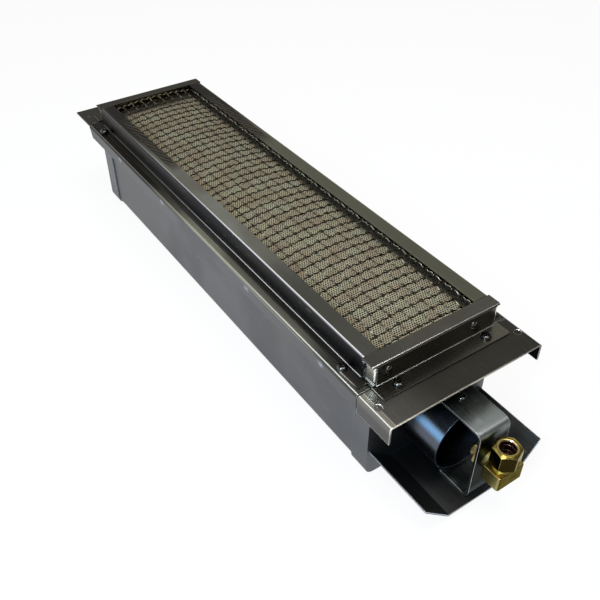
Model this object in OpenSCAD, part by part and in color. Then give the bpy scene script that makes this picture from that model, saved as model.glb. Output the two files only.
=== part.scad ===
// Infrared gas burner: a formed sheet trough that holds three ceramic plaques under an arched wire screen.
// Drawing origin: the middle of the mounting flange, on its top face. The gas end points along -Y.

/* [Mounting flange] */
// Width of the side flanges beside the trough
side_flange_w = 11.6; // [10:0.2:20]
// How far each end plate reaches past the end cap
plate_reach = 28.4; // [24:0.2:40]
// Thickness of the flange, trough and end cap sheet
sheet_t = 1.2; // [0.8:0.1:1.4]
// Depth of the turned-down lips on the front plate
plate_lip_h = 13.5; // [8:0.5:20]
// Depth of the turned-down lips along the trough
side_lip_h = 11; // [6:0.5:18]
// Slant of the cut at the rear end of each side lip
lip_slant = 4; // [0:0.5:8]
// Gap between an end plate and the trough flange
plate_gap = 0.9; // [0.3:0.1:1]
// Inside bend radius of the sheet edges
edge_bend_r = 0.9; // [0.5:0.1:1.5]
// Distance from the front and rear edges to the dimples in the end plates
dimple_in = 16; // [12:0.5:17]
// Distance from the side edges to the dimples
dimple_side = 4.6; // [4:0.1:7]
// Diameter of the dimples
dimple_d = 5; // [3:0.5:6]
// Depth of the dimples
dimple_deep = 0.3; // [0.1:0.1:0.5]

/* [Trough and end caps] */
// Gap between the plaques and the trough's walls
plaque_side_gap = 1.2; // [0.8:0.1:2]
// Depth of the trough below the flange top
trough_h = 79.2; // [76:0.2:90]
// Inside bend radius between the trough's walls and flanges, clear of the caps' rims
wall_bend_r = 1.4; // [1.3:0.1:2]
// Outer radius of the trough's bottom bends
trough_bend_r = 6; // [3:0.5:10]
// Length of the end cap rim that wraps the trough
cap_rim = 13.9; // [8:0.1:20]
// Width of the end cap flange under each end plate
cap_flange = 10; // [6:0.5:16]
// Slip clearance between the caps and the trough
slip_gap = 0.05; // [0.02:0.01:0.1]

/* [Ceramic plaques] */
// Length of one plaque
plaque_l = 131.5; // [120:0.5:140]
// Width of one plaque
plaque_w = 92; // [88:0.5:92.5]
// Thickness of one plaque
plaque_t = 13; // [10:0.5:16]
// Number of plaques in the row
plaque_n = 3; // [2:1:3]
// Mortar joint between two plaques
plaque_joint = 0.6; // [0.3:0.1:1]
// How far the cement in the joints stays below the radiant face
cement_low = 0.2; // [0.1:0.1:0.5]
// Gap between the row of plaques and the end caps
row_gap = 0.5; // [0.3:0.1:1]
// Height of the plaques' radiant face above the flange
plaque_rise = 4.8; // [3:0.2:6]
// Thickness of the fibre gasket under the plaques
gasket_t = 1.5; // [1:0.1:2]
// Width of the gasket strip under the plaques
gasket_w = 9; // [6:0.5:12]
// Width of the ledges that carry the plaques
ledge_w = 10; // [8:0.5:14]
// Depth of the side ledges' welded legs
ledge_h = 12; // [8:0.5:16]
// Depth of the end ledges' welded legs, clear of the mixing tube
end_ledge_h = 5; // [3:0.5:6]

/* [Gas distribution] */
// Thickness of the baffle, the ledges and the tube saddle
inner_t = 1; // [0.8:0.1:1.2]
// Diameter of the baffle holes
baffle_hole_d = 8; // [5:0.5:10]
// Pitch of the baffle holes
baffle_pitch = 18; // [14:1:24]
// Outer diameter of the mixing tube
tube_d = 50.8; // [44:0.2:51.2]
// Wall of the mixing tube
tube_t = 1.2; // [0.9:0.1:2]
// Length of the mixing tube
tube_l = 330; // [200:5:380]
// How far the tube's mouth stands out in front of the flange
tube_out = 4.8; // [2:0.2:10]
// Depth of the tube's axis below the flange top
tube_drop = 42.3; // [42:0.1:44]
// Width of the saddle under the tube's inner end
saddle_w = 50; // [40:1:52]
// Distance from the tube's inner end to its saddle
saddle_back = 16; // [10:1:30]
// Length of the saddle's welded foot
saddle_foot = 12; // [8:1:20]
// Clearance around the baffle plate
baffle_gap = 0.5; // [0.3:0.1:1]

/* [Screen frame] */
// Thickness of the screen frame sheet
frame_t = 1; // [0.8:0.1:1.2]
// Height of the screen frame above the flange
frame_h = 16.8; // [15:0.2:20]
// How far the rails' walls stand out past the trough's walls
rail_stand = 1; // [0.6:0.1:2]
// Width of the rails' top lips
rail_lip = 11.5; // [8:0.5:14]
// Width of the rails' feet
rail_foot = 4.8; // [3:0.2:6]
// Extra width of the rail feet at their ends
foot_pad = 3.2; // [2:0.2:4.4]
// Length of the wide pad at each end of a rail foot
foot_pad_l = 20; // [16:1:26]
// How much narrower the pad is at its end
pad_taper = 0.9; // [0:0.1:1.5]
// Width of the end bars' feet
bar_foot = 11.3; // [10.5:0.1:14]
// Width of the end bars' top lips
bar_lip = 10.3; // [8:0.1:14]
// Inside bend radius of the frame sheet
frame_bend_r = 0.8; // [0.5:0.1:1]
// Radius of the notch between a rail's foot and the end of its wall
rail_notch_r = 3; // [2:0.5:4]
// How far the rails' feet stop short of the end bars' walls
rail_foot_short = 4.3; // [3:0.1:6]
// How far the rails' walls stop short of the end bars' walls
rail_wall_short = 8.3; // [7:0.1:9]
// Gap between the rails' lips and the end bars' lips
lip_gap = 0.3; // [0.2:0.1:0.6]
// Gap between the plaques and the end bars' walls
bar_gap = 0.2; // [0.1:0.1:0.5]
// How far the end bars' ends stand out past the rails
bar_over = 0.6; // [0:0.1:1.2]
// Height at which the end bars' side tabs start
tab_rise = 4; // [3:0.5:6]
// Radius at the ends of the rail walls
rail_end_r = 6; // [3:0.5:7]

/* [Wire screen] */
// Diameter of the screen wire
wire_d = 1; // [0.7:0.05:1.2]
// Pitch of the screen wires, the same both ways
wire_pitch = 8.65; // [6:0.05:12]
// Height of the screen's crown above the flange
screen_crown = 16; // [15.4:0.2:17]
// Rise of the screen's arch between its edges and its crown
screen_arch = 5; // [3:0.2:6]
// Gap between the wires and the frame around them
wire_gap = 0.1; // [0.05:0.05:0.3]
// Gap between a long and a cross wire where they pass each other
weave_gap = 0.04; // [0.02:0.01:0.1]

/* [Orifice bracket and air tray] */
// Thickness of the orifice bracket strap
strap_t = 1.6; // [1.2:0.1:2]
// Width of the orifice bracket strap
strap_w = 24; // [18:1:26]
// Inside bend radius of the strap
strap_bend_r = 3.4; // [2:0.2:5]
// Distance from the flange's front edge to the strap's web
strap_out = 24.2; // [22:0.2:32]
// Reach of the strap's top leg behind the flange's front edge
strap_top_in = 20; // [12:1:24]
// Length of the strap's bottom leg
strap_foot = 24; // [16:1:30]
// Thickness of the air tray
tray_t = 1; // [0.8:0.1:1.4]
// Height of the tray's floor above the trough's bottom
tray_rise = 5.8; // [5.8:0.1:8]
// Bend radius between the tray's floor and its wings
tray_bend_r = 1.5; // [1:0.5:3]
// Inset of the tray's welded flange at each side
tray_flange_in = 3; // [2:0.5:6]
// Distance from the strap's web to the tray's front edge
tray_past = 2.6; // [1:0.2:6]
// Width of the tray's flat floor
tray_floor_w = 59; // [50:1:70]
// Height of the tray's sloping wings
tray_wing_h = 16.7; // [10:0.2:20]
// Setback of the wings' front corners
tray_setback = 1.8; // [0:0.2:6]
// Depth of the tray's welded flange
tray_flange_h = 5; // [3:0.5:5.5]

/* [Gas fitting] */
// Width of the elbow block
elbow_w = 20.2; // [18:0.2:22]
// Height of the elbow block
elbow_h = 11; // [10:0.5:14]
// Depth of the elbow block
elbow_l = 14.1; // [13:0.1:16]
// Corner radius of the elbow block
elbow_r = 1.6; // [0.5:0.1:3]
// Length of the shoulder between the block and the bracket
shoulder_l = 3.3; // [2.5:0.1:6]
// How far the shoulder stands out around the stub
shoulder_rim = 0.7; // [0.4:0.1:0.9]
// Diameter of the elbow's threaded stub
stub_d = 12.7; // [11:0.1:14]
// Length of the stub behind the bracket web
stub_in = 5.4; // [5:0.1:7]
// Width across the flats of the locknut
locknut_af = 17.5; // [16:0.5:20]
// Thickness of the locknut
locknut_h = 4; // [3:0.1:4.5]
// How far the turned end faces of the locknut and the spud lie inside their flats
hex_face_in = 0.3; // [0.2:0.1:0.6]
// Width across the flats of the orifice spud
spud_af = 11; // [10:0.5:12]
// Length of the spud's hexagon
spud_hex_l = 3.2; // [2:0.1:4]
// Length of the spud's tip
spud_tip_l = 2; // [1:0.1:2.4]
// Diameter of the spud's thread
spud_d = 7.9; // [7.5:0.1:8.5]
// Length of the spud's thread
spud_thread_l = 3.6; // [3:0.1:4]
// Diameter of the spud's tip at its hexagon
spud_tip_d1 = 8.8; // [7:0.2:9.6]
// Diameter of the spud's tip at its end
spud_tip_d2 = 5.6; // [4:0.2:6.6]
// Diameter of the spud's bore behind the orifice
spud_bore_d = 4.5; // [3:0.5:6]
// Diameter of the gas orifice
orifice_d = 1.9; // [0.8:0.1:2.5]
// Bore of the gas passages
passage_d = 6; // [4:0.5:6.4]
// Outer diameter of the gas supply tube
supply_d = 9.525; // [9.5:0.005:9.55]
// Thread diameter of the compression neck
neck_d = 14.29; // [14:0.01:14.6]
// Height of the compression neck above the block
neck_h = 9.8; // [8.5:0.1:10.5]
// Width across the flats of the compression nut
nut_af = 15.875; // [15.8:0.005:17.5]
// Height of the compression nut
nut_h = 13.5; // [12.8:0.1:15]
// Gap between the compression nut and the block
nut_stand = 1.9; // [1.5:0.1:2.2]
// How far the nut's turned end faces lie inside its flats
nut_face_in = 1.1; // [0.3:0.1:1.3]
// Depth of the lead-in at the nut's hole
nut_lead = 0.7; // [0.3:0.1:0.9]
// Angle of the compression nut about its axis
nut_turn = 21; // [0:1:59]
// Length of the ferrule
ferrule_l = 4.4; // [4:0.1:5]
// Wall of the ferrule
ferrule_t = 0.8; // [0.6:0.05:0.9]
// Length of the tube socket below the ferrule's seat
socket_l = 3; // [2:0.5:4]
// Depth of the nut's roof above the neck
nut_roof = 2; // [1.5:0.1:2.5]
// Clearance between the nut's hole and the supply tube
nut_hole_gap = 0.3; // [0.2:0.05:0.5]
// Radial running clearance inside the fitting
run_gap = 0.05; // [0.02:0.01:0.08]

/* [Fasteners] */
// Shank diameter of the frame screws
screw_d = 4; // [3:0.5:4.5]
// Clearance of the holes for screws and rivets
hole_gap = 0.2; // [0.1:0.05:0.4]
// Head diameter of the frame screws
screw_head_d = 7.2; // [6:0.2:8]
// Head height of the frame screws
screw_head_h = 2.4; // [1.6:0.1:3]
// Length of the frame screws under the head
screw_l = 8; // [5:0.5:10]
// Distance from the centre line to the end bar screws
bar_screw_x = 35; // [30:1:42]
// Distance from the rail foot's end to the rail screws
rail_screw_in = 18.5; // [16:0.5:22]
// Shank diameter of the bar rivets
rivet_d = 3.2; // [2.4:0.1:4]
// Head diameter of the bar rivets
rivet_head_d = 5.4; // [4.5:0.1:6]
// Length of the bar rivets' closed ends
rivet_tail_l = 0.8; // [0.5:0.1:1.2]
// Diameter of a rivet's closed tail
rivet_tail_d = 4.2; // [3.8:0.1:5]
// Rounded share of a pan head's height
pan_round = 0.7; // [0.4:0.1:0.9]
// Width of a screw's cross recess as a share of its head
recess_w = 0.55; // [0.4:0.05:0.7]
// Width of a cross recess's slots
recess_slot = 0.8; // [0.6:0.1:1]
// Depth of a cross recess
recess_deep = 1.2; // [0.8:0.1:1.4]
// Height of the bar rivets above the flange
rivet_z = 10.2; // [8:0.2:11]
// Offsets of the two rivets of a bar from its middle
rivet_x = [-38.5, 28]; // [-42:0.5:42]
// Width of the clips behind the bar rivets
clip_w = 8; // [6:0.5:12]
// Thickness of the clips behind the bar rivets
clip_t = 0.8; // [0.6:0.1:1]
// Distance from the flange's front edge to the tube screw
tube_screw_in = 4.4; // [2:0.2:8]
// Shank diameter of the tube screw
tube_screw_d = 3.5; // [3:0.5:4]
// Head diameter of the tube screw
tube_head_d = 6; // [5:0.2:7]
// Head height of the tube screw
tube_head_h = 2; // [1.4:0.1:2.6]
// Length of the tube screw under the head
tube_screw_l = 5; // [4:0.5:8]

/* [Hidden] */
$fn = 48;
// Segments in a sheet bend or a rounded corner of an outline
bend_n = 5;
// Overlap that joins or cuts solids cleanly
eps = 0.01;

// Lengths along the burner
plaque_pitch = plaque_l + plaque_joint;
row_l = plaque_n * plaque_pitch - plaque_joint;
cavity_l = row_l + 2 * row_gap;
body_l = cavity_l + 2 * sheet_t;
shell_l = cavity_l - plate_gap;
flange_l = body_l + 2 * plate_reach;
plate_l = (flange_l - shell_l) / 2 - plate_gap;
front_y = -flange_l / 2;

// Cap, trough and flange
inside_w = plaque_w + 2 * plaque_side_gap;
trough_w = inside_w + 2 * sheet_t;
flange_w = trough_w + 2 * side_flange_w;
cap_w = trough_w + 2 * (sheet_t + slip_gap);
cap_h = trough_h + sheet_t + slip_gap;
cap_bend_r = trough_bend_r + sheet_t + slip_gap;
edge_r = edge_bend_r + sheet_t / 2;
plate_hole_d = screw_d + hole_gap;
weld_gap = 0.02;

// Plaques, gasket, ledges and baffle
plaque_z = plaque_rise - plaque_t;
ledge_z = plaque_z - gasket_t;
ledge_l = shell_l - 2 * row_gap;
baffle_z = ledge_z - 2 * inner_t;
baffle_w = inside_w - 2 * (inner_t + edge_bend_r + baffle_gap);
baffle_l = cavity_l - 2 * (inner_t + edge_bend_r + baffle_gap);
band_t = plaque_side_gap - 2 * slip_gap;

// Screen frame
bar_y = row_l / 2 + bar_gap + frame_t;
rail_w = trough_w + 2 * rail_stand;
bar_l = rail_w + 2 * bar_over;
bar_wall_w = rail_w - 2 * (frame_t + slip_gap);
rail_end = bar_y - bar_lip - lip_gap;
rail_foot_end = bar_y - rail_foot_short;
rail_wall_end = bar_y - rail_wall_short;
rail_r = frame_bend_r + frame_t / 2;

// Screen wires
screen_w = rail_w - 2 * (frame_t + wire_gap);
screen_l = 2 * (rail_end - 2 * wire_gap);
arch_r = (pow(screen_w / 2, 2) + pow(screen_arch, 2)) / (2 * screen_arch);
long_n = 2 * floor(screen_w / 2 / wire_pitch);
cross_n = floor((screen_l - wire_d) / wire_pitch) + 1;
weave = (wire_d + weave_gap) / 2;

// Gas end
tube_y = front_y - tube_out;
tube_end = tube_y + tube_l;
tube_top = tube_d / 2 - tube_drop;
saddle_y = tube_end - saddle_back;
web_y = front_y - strap_out;
strap_r = strap_bend_r + strap_t / 2;
tray_top = tray_rise - trough_h;
tray_front = web_y - tray_past;
tray_wing_w = (trough_w - tray_floor_w) / 2;

// Fitting
block_y = web_y - shoulder_l;
nut_y = block_y - elbow_l / 2;
block_top = elbow_h / 2 - tube_drop;
nut_z = block_top + nut_stand;
neck_top = block_top + neck_h;
nut_inner = neck_top + nut_roof;
ferrule_d = supply_d + 2 * (run_gap + ferrule_t);
ferrule_z = nut_inner - run_gap - ferrule_l;
socket_d = ferrule_d + 2 * run_gap;
stub_end = web_y + strap_t + stub_in;
nut_corner = nut_af / 2 / cos(30);
nut_reach = nut_corner * max([for (k = [0:5]) -sin(nut_turn + 60 * k)]);
fitting_front = nut_y - max(nut_reach, elbow_l / 2);

// Shift from the drawing origin to the middle of the underside's outline
mid_y = (fitting_front + flange_l / 2) / 2;
base_z = cap_h;

// Points of an arc around c
function arc(c, r, a0, a1) = [for (k = [0:bend_n]) let (a = a0 + (a1 - a0) * k / bend_n)
    c + r * [cos(a), sin(a)]];

// Outline of a rectangle with rounded corners
function round_rect(w, h, r) = concat(
    arc([w / 2 - r, h / 2 - r], r, 0, 90), arc([r - w / 2, h / 2 - r], r, 90, 180),
    arc([r - w / 2, r - h / 2], r, 180, 270), arc([w / 2 - r, r - h / 2], r, 270, 360));

// Left-hand normal of the run from a to b
function left_of(a, b) = let (u = (b - a) / norm(b - a)) [-u[1], u[0]];

// One face of a bent sheet at a corner b, d away from the middle line
function bend(a, b, c, r, d) = let (
    u = (b - a) / norm(b - a), v = (c - b) / norm(c - b),
    turn = atan2(u[0] * v[1] - u[1] * v[0], u * v),
    side = turn < 0 ? -1 : 1,
    n = [-u[1], u[0]],
    centre = b - u * r * tan(abs(turn) / 2) + side * r * n)
    [for (k = [0:bend_n]) let (t = turn * k / bend_n)
        centre + (d - side * r) * [n[0] * cos(t) - n[1] * sin(t), n[0] * sin(t) + n[1] * cos(t)]];

// One face of a bent sheet that follows the points p with the middle radii r
function sheet_face(p, r, d) = let (e = len(p) - 1) concat(
    [p[0] + d * left_of(p[0], p[1])],
    [for (i = [1:e - 1]) each bend(p[i - 1], p[i], p[i + 1], r[i - 1], d)],
    [p[e] + d * left_of(p[e - 1], p[e])]);

// Closed outline of a bent sheet of thickness t
function sheet(p, r, t) = let (back = sheet_face(p, r, -t / 2)) concat(
    sheet_face(p, r, t / 2), [for (i = [len(back) - 1:-1:0]) back[i]]);

// Both halves of an outline that is symmetric about its first axis value 0
function both(half) = concat([for (q = half) [-q[0], q[1]]], [for (i = [len(half) - 1:-1:0]) half[i]]);

// Height of the screen's middle surface at a distance x from the centre line
function arch_z(x) = screen_crown - arch_r + sqrt(arch_r * arch_r - x * x);

// Moves the drawing origin to the part's origin
module place() {
    translate([0, -mid_y, base_z]) children();
}

// Extrudes an XZ outline along Y from y0 over a length l
module along_y(y0, l) {
    translate([0, y0 + l, 0]) rotate([90, 0, 0]) linear_extrude(l) children();
}

// Extrudes a YZ outline along X over a width w about the middle
module along_x(w) {
    translate([-w / 2, 0, 0]) rotate([90, 0, 90]) linear_extrude(w) children();
}

// Repeats children at the front and, turned half a turn, at the rear
module both_ends() {
    for (a = [0, 180]) rotate([0, 0, a]) children();
}

// Outline of the trough's walls and bottom around a given clearance
module pan_outline(w, h, r, top) {
    polygon(concat([[-w / 2, top]], arc([r - w / 2, r - h], r, 180, 270),
        arc([w / 2 - r, r - h], r, 270, 360), [[w / 2, top]]));
}

// Hexagonal nut blank standing on the origin, turned down at its ends to faces inside the flats
module hex_blank(af, h, face_in) {
    corner = af / 2 / cos(30);
    face_r = af / 2 - face_in;
    slope = (corner - face_r) * tan(30);
    intersection() {
        cylinder(r = corner, h = h, $fn = 6);
        rotate_extrude() polygon([[0, 0], [face_r, 0], [corner, slope], [corner, h - slope],
            [face_r, h], [0, h]]);
    }
}

// Pan-head screw with a cross recess, its head's underside on the origin
module pan_screw(d, head_d, head_h, l) {
    round_h = head_h * pan_round;
    difference() {
        union() {
            rotate_extrude() polygon(concat([[0, 0], [head_d / 2, 0]],
                arc([head_d / 2 - round_h, head_h - round_h], round_h, 0, 90), [[0, head_h]]));
            translate([0, 0, -l]) cylinder(d = d, h = l + eps);
        }
        for (a = [0, 90]) rotate([0, 0, a])
            translate([0, 0, head_h]) cube([recess_w * head_d, recess_slot, 2 * recess_deep], center = true);
    }
}

// Side view of the slanting cut at the rear end of the side lips
module lip_cut() {
    end = shell_l / 2;
    polygon([[end - lip_slant, -side_lip_h - eps], [end + eps, -sheet_t - edge_bend_r],
        [end + sheet_t, -side_lip_h - eps]]);
}

module burner_trough() {
    x_lip = (flange_w - sheet_t) / 2;
    x_wall = (trough_w - sheet_t) / 2;
    z_top = -sheet_t / 2;
    z_low = sheet_t / 2 - trough_h;
    wall_r = wall_bend_r + sheet_t / 2;
    floor_r = trough_bend_r - sheet_t / 2;
    path = both([[x_lip, -side_lip_h], [x_lip, z_top], [x_wall, z_top], [x_wall, z_low]]);
    radii = [edge_r, wall_r, floor_r, floor_r, wall_r, edge_r];
    color("slategray") place() difference() {
        along_y(-shell_l / 2, shell_l) polygon(sheet(path, radii, sheet_t));
        rail_screw_places() cylinder(d = plate_hole_d, h = 4 * sheet_t, center = true);
        along_x(2 * flange_w) lip_cut();
    }
}

module end_cap() {
    z_top = -sheet_t - weld_gap;
    z_rim = z_top - wall_bend_r;
    front = -body_l / 2;
    difference() {
        union() {
            along_y(front, sheet_t + cap_rim) difference() {
                pan_outline(cap_w, cap_h, cap_bend_r, z_rim);
                pan_outline(cap_w - 2 * sheet_t, cap_h - sheet_t, cap_bend_r - sheet_t, z_rim + 1);
            }
            along_y(front, sheet_t) pan_outline(cap_w, cap_h, cap_bend_r, z_top);
            translate([-trough_w / 2, front - cap_flange, z_top - sheet_t])
                cube([trough_w, cap_flange + sheet_t, sheet_t]);
        }
        bar_screw_places() cylinder(d = plate_hole_d, h = 6 * sheet_t, center = true);
    }
}

module front_end_cap() {
    color("dimgray") place() difference() {
        end_cap();
        translate([0, -body_l / 2, -tube_drop]) rotate([90, 0, 0])
            cylinder(d = tube_d + 2 * slip_gap, h = 4 * sheet_t, center = true, $fn = 96);
    }
}

module rear_end_cap() {
    color("dimgray") place() rotate([0, 0, 180]) end_cap();
}

// Drilled and dimpled top of an end plate, as a cutter
module plate_holes() {
    bar_screw_places() cylinder(d = plate_hole_d, h = 4 * sheet_t, center = true);
    for (s = [-1, 1]) translate([s * (flange_w / 2 - dimple_side), front_y + dimple_in, -dimple_deep])
        cylinder(d = dimple_d, h = sheet_t);
}

module front_plate() {
    x_lip = (flange_w - sheet_t) / 2;
    path = both([[x_lip, -plate_lip_h], [x_lip, -sheet_t / 2]]);
    color("rosybrown") place() difference() {
        along_y(front_y, plate_l) polygon(sheet(path, [edge_r, edge_r], sheet_t));
        plate_holes();
    }
}

module rear_plate() {
    color("rosybrown") place() rotate([0, 0, 180]) difference() {
        translate([-flange_w / 2, front_y, -sheet_t]) cube([flange_w, plate_l, sheet_t]);
        plate_holes();
    }
}

// Places of the rail screws
module rail_screw_places() {
    for (s = [-1, 1], e = [-1, 1])
        translate([s * (rail_w / 2 + rail_foot), e * (rail_foot_end - rail_screw_in), 0]) children();
}

// Half the side view of a rail: the low foot runs past the rounded end of the wall
module rail_side() {
    r = rail_end_r;
    notch = rail_notch_r;
    wall = rail_wall_end;
    top = frame_h - frame_t - frame_bend_r;
    polygon(concat(
        [[-eps, -eps], [rail_foot_end, -eps], [rail_foot_end, frame_t], [wall - notch / 2, frame_t]],
        arc([wall - notch, frame_t + notch], notch, -90, 0),
        arc([wall - r, top - r], r, 0, 60),
        [[rail_end, top], [rail_end, frame_h + eps], [-eps, frame_h + eps]]));
}

// Plan view of the wide pads at the ends of a rail foot
module foot_pads() {
    x0 = rail_w / 2 + frame_t;
    x1 = rail_w / 2 + rail_foot;
    x2 = x1 + foot_pad;
    y0 = -rail_foot_end;
    y1 = y0 + foot_pad_l;
    for (e = [0, 1]) mirror([0, e, 0])
        polygon(concat([[x0, y1], [x0, y0], [x2 - pad_taper, y0], [x2, y1 - foot_pad_l / 4]],
            arc([x2 - foot_pad / 2, y1 - foot_pad / 2], foot_pad / 2, 0, 90), [[x1, y1]]));
}

module screen_rail() {
    x_wall = (rail_w - frame_t) / 2;
    x_foot = rail_w / 2 + rail_foot;
    x_lip = rail_w / 2 - rail_lip;
    path = [[x_foot, frame_t / 2], [x_wall, frame_t / 2], [x_wall, frame_h - frame_t / 2],
        [x_lip, frame_h - frame_t / 2]];
    difference() {
        union() {
            intersection() {
                along_y(-rail_foot_end, 2 * rail_foot_end) polygon(sheet(path, [rail_r, rail_r], frame_t));
                for (e = [0, 1]) mirror([0, e, 0]) along_x(2 * rail_w) rail_side();
            }
            linear_extrude(frame_t) foot_pads();
        }
        rail_screw_places() cylinder(d = plate_hole_d, h = 6 * frame_t, center = true);
    }
}

module left_screen_rail() {
    color("darkslategray") place() mirror([1, 0, 0]) screen_rail();
}

module right_screen_rail() {
    color("darkslategray") place() screen_rail();
}

// Front end bar: a stepped section with side tabs that pass inside the rails
module screen_bar() {
    y_wall = frame_t / 2 - bar_y;
    path = [[-bar_y - bar_foot, frame_t / 2], [y_wall, frame_t / 2], [y_wall, frame_h - frame_t / 2],
        [bar_lip - bar_y, frame_h - frame_t / 2]];
    x_tab = (bar_wall_w - frame_t) / 2;
    tabs = both([[x_tab, bar_lip - bar_y], [x_tab, y_wall]]);
    wall_l = bar_wall_w - 2 * (rail_r + frame_t / 2);
    difference() {
        union() {
            difference() {
                along_x(bar_l) polygon(sheet(path, [rail_r, rail_r], frame_t));
                for (s = [-1, 1]) translate([s * (wall_l + bar_l) / 2, -bar_y, frame_h / 2])
                    cube([bar_l, 4 * frame_t, frame_h - 2 * frame_t - 2 * eps], center = true);
            }
            translate([0, 0, tab_rise]) linear_extrude(frame_h - frame_t - tab_rise + eps)
                polygon(sheet(tabs, [rail_r, rail_r], frame_t));
        }
        bar_screw_places() cylinder(d = plate_hole_d, h = 6 * frame_t, center = true);
        bar_rivet_places() cylinder(d = rivet_d + hole_gap, h = 6 * frame_t, center = true);
    }
}

// Places of one bar's screws
module bar_screw_places() {
    for (s = [-1, 1]) translate([s * bar_screw_x, -bar_y - bar_foot / 2, 0]) children();
}

// Places of one bar's rivets, with Z pointing out of the bar's face
module bar_rivet_places() {
    for (x = rivet_x) translate([x, -bar_y, rivet_z]) rotate([90, 0, 0]) children();
}

module front_screen_bar() {
    color("gray") place() screen_bar();
}

module rear_screen_bar() {
    color("gray") place() rotate([0, 0, 180]) screen_bar();
}

module screen_long_wires() {
    color("silver") place() for (i = [0:long_n - 1]) let (x = (i - (long_n - 1) / 2) * wire_pitch)
        translate([x, -screen_l / 2, arch_z(x) + weave]) rotate([-90, 0, 0])
            cylinder(d = wire_d, h = screen_l, $fn = 16);
}

module screen_cross_wires() {
    half = asin(screen_w / 2 / arch_r);
    color("silver") place() for (i = [0:cross_n - 1]) let (y = (i - (cross_n - 1) / 2) * wire_pitch)
        translate([0, y, screen_crown - arch_r]) rotate([90, 0, 0]) rotate([0, 0, 90 - half])
            rotate_extrude(angle = 2 * half, $fn = 96)
                translate([arch_r - weave, 0]) circle(d = wire_d, $fn = 16);
}

// Clips behind the bar rivets that stop the screen from sliding out
module screen_clips() {
    y_back = frame_t - bar_y;
    clip_top = frame_h - frame_t - lip_gap;
    path = [[y_back + clip_t / 2, rivet_z - rivet_head_d / 2], [y_back + clip_t / 2, clip_top - clip_t / 2],
        [bar_lip - bar_y - 1, clip_top - clip_t / 2]];
    color("gainsboro") place() both_ends() difference() {
        for (x = rivet_x) translate([x, 0, 0])
            along_x(clip_w) polygon(sheet(path, [clip_t], clip_t));
        bar_rivet_places() cylinder(d = rivet_d + hole_gap, h = 6 * frame_t, center = true);
    }
}

module plaque(i) {
    y = (i - (plaque_n - 1) / 2) * plaque_pitch;
    color("tan") place() translate([-plaque_w / 2, y - plaque_l / 2, plaque_z])
        cube([plaque_w, plaque_l, plaque_t]);
}

module ceramic_plaque_1() {
    plaque(0);
}

module ceramic_plaque_2() {
    plaque(1);
}

module ceramic_plaque_3() {
    if (plaque_n > 2) plaque(2);
}

// Cement that fills the joints between the plaques
module plaque_cement() {
    color("linen") place() for (i = [1:plaque_n - 1]) let (y = (i - plaque_n / 2) * plaque_pitch)
        translate([-plaque_w / 2, y - plaque_joint / 2 + weld_gap, plaque_z])
            cube([plaque_w, plaque_joint - 2 * weld_gap, plaque_t - cement_low]);
}

module plaque_gasket() {
    half_w = inside_w / 2 - slip_gap;
    half_l = ledge_l / 2;
    color("ivory") place() {
        for (s = [0, 1]) mirror([s, 0, 0]) {
            translate([half_w - gasket_w, -half_l, ledge_z]) cube([gasket_w, 2 * half_l, gasket_t]);
            translate([half_w - band_t, -half_l, plaque_z - eps]) cube([band_t, 2 * half_l, -plaque_z]);
        }
        for (s = [0, 1]) mirror([0, s, 0])
            translate([-half_w + gasket_w + slip_gap, half_l - gasket_w, ledge_z])
                cube([2 * (half_w - gasket_w - slip_gap), gasket_w, gasket_t]);
    }
}

// Welded angle whose flat leg carries the plaques, drawn towards +X
module ledge(l, h) {
    path = [[-inner_t / 2, ledge_z - h], [-inner_t / 2, ledge_z - inner_t / 2],
        [-ledge_w, ledge_z - inner_t / 2]];
    along_y(-l / 2, l) polygon(sheet(path, [edge_bend_r + inner_t / 2], inner_t));
}

module right_plaque_ledge() {
    color("lightsteelblue") place() translate([inside_w / 2 - weld_gap, 0, 0]) ledge(ledge_l, ledge_h);
}

module left_plaque_ledge() {
    color("lightsteelblue") place() mirror([1, 0, 0]) translate([inside_w / 2 - weld_gap, 0, 0])
        ledge(ledge_l, ledge_h);
}

// Ledge across the end of the trough, between the side ledges
module end_ledge() {
    translate([0, cavity_l / 2 - weld_gap, 0]) rotate([0, 0, 90])
        ledge(inside_w - 2 * ledge_w - 2 * row_gap, end_ledge_h);
}

module front_plaque_ledge() {
    color("lightsteelblue") place() mirror([0, 1, 0]) end_ledge();
}

module rear_plaque_ledge() {
    color("lightsteelblue") place() end_ledge();
}

module baffle_plate() {
    across = floor(baffle_w / baffle_pitch);
    along = floor(baffle_l / baffle_pitch) - 1;
    color("slategray") place() difference() {
        translate([-baffle_w / 2, -baffle_l / 2, baffle_z]) cube([baffle_w, baffle_l, inner_t]);
        for (i = [0:across - 1], j = [0:along - 1])
            translate([(i - (across - 1) / 2) * baffle_pitch, (j - (along - 1) / 2) * baffle_pitch, baffle_z])
                cylinder(d = baffle_hole_d, h = 4 * inner_t, center = true, $fn = 24);
    }
}

// Place of the tube screw, on top of the tube
module tube_screw_place() {
    translate([0, front_y + tube_screw_in, tube_top]) children();
}

module mixing_tube() {
    color("steelblue") place() difference() {
        translate([0, tube_y, -tube_drop]) rotate([-90, 0, 0]) difference() {
            cylinder(d = tube_d, h = tube_l, $fn = 96);
            translate([0, 0, -1]) cylinder(d = tube_d - 2 * tube_t, h = tube_l + 2, $fn = 96);
        }
        tube_screw_place() cylinder(d = tube_screw_d + hole_gap, h = 4 * tube_t, center = true);
    }
}

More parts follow.
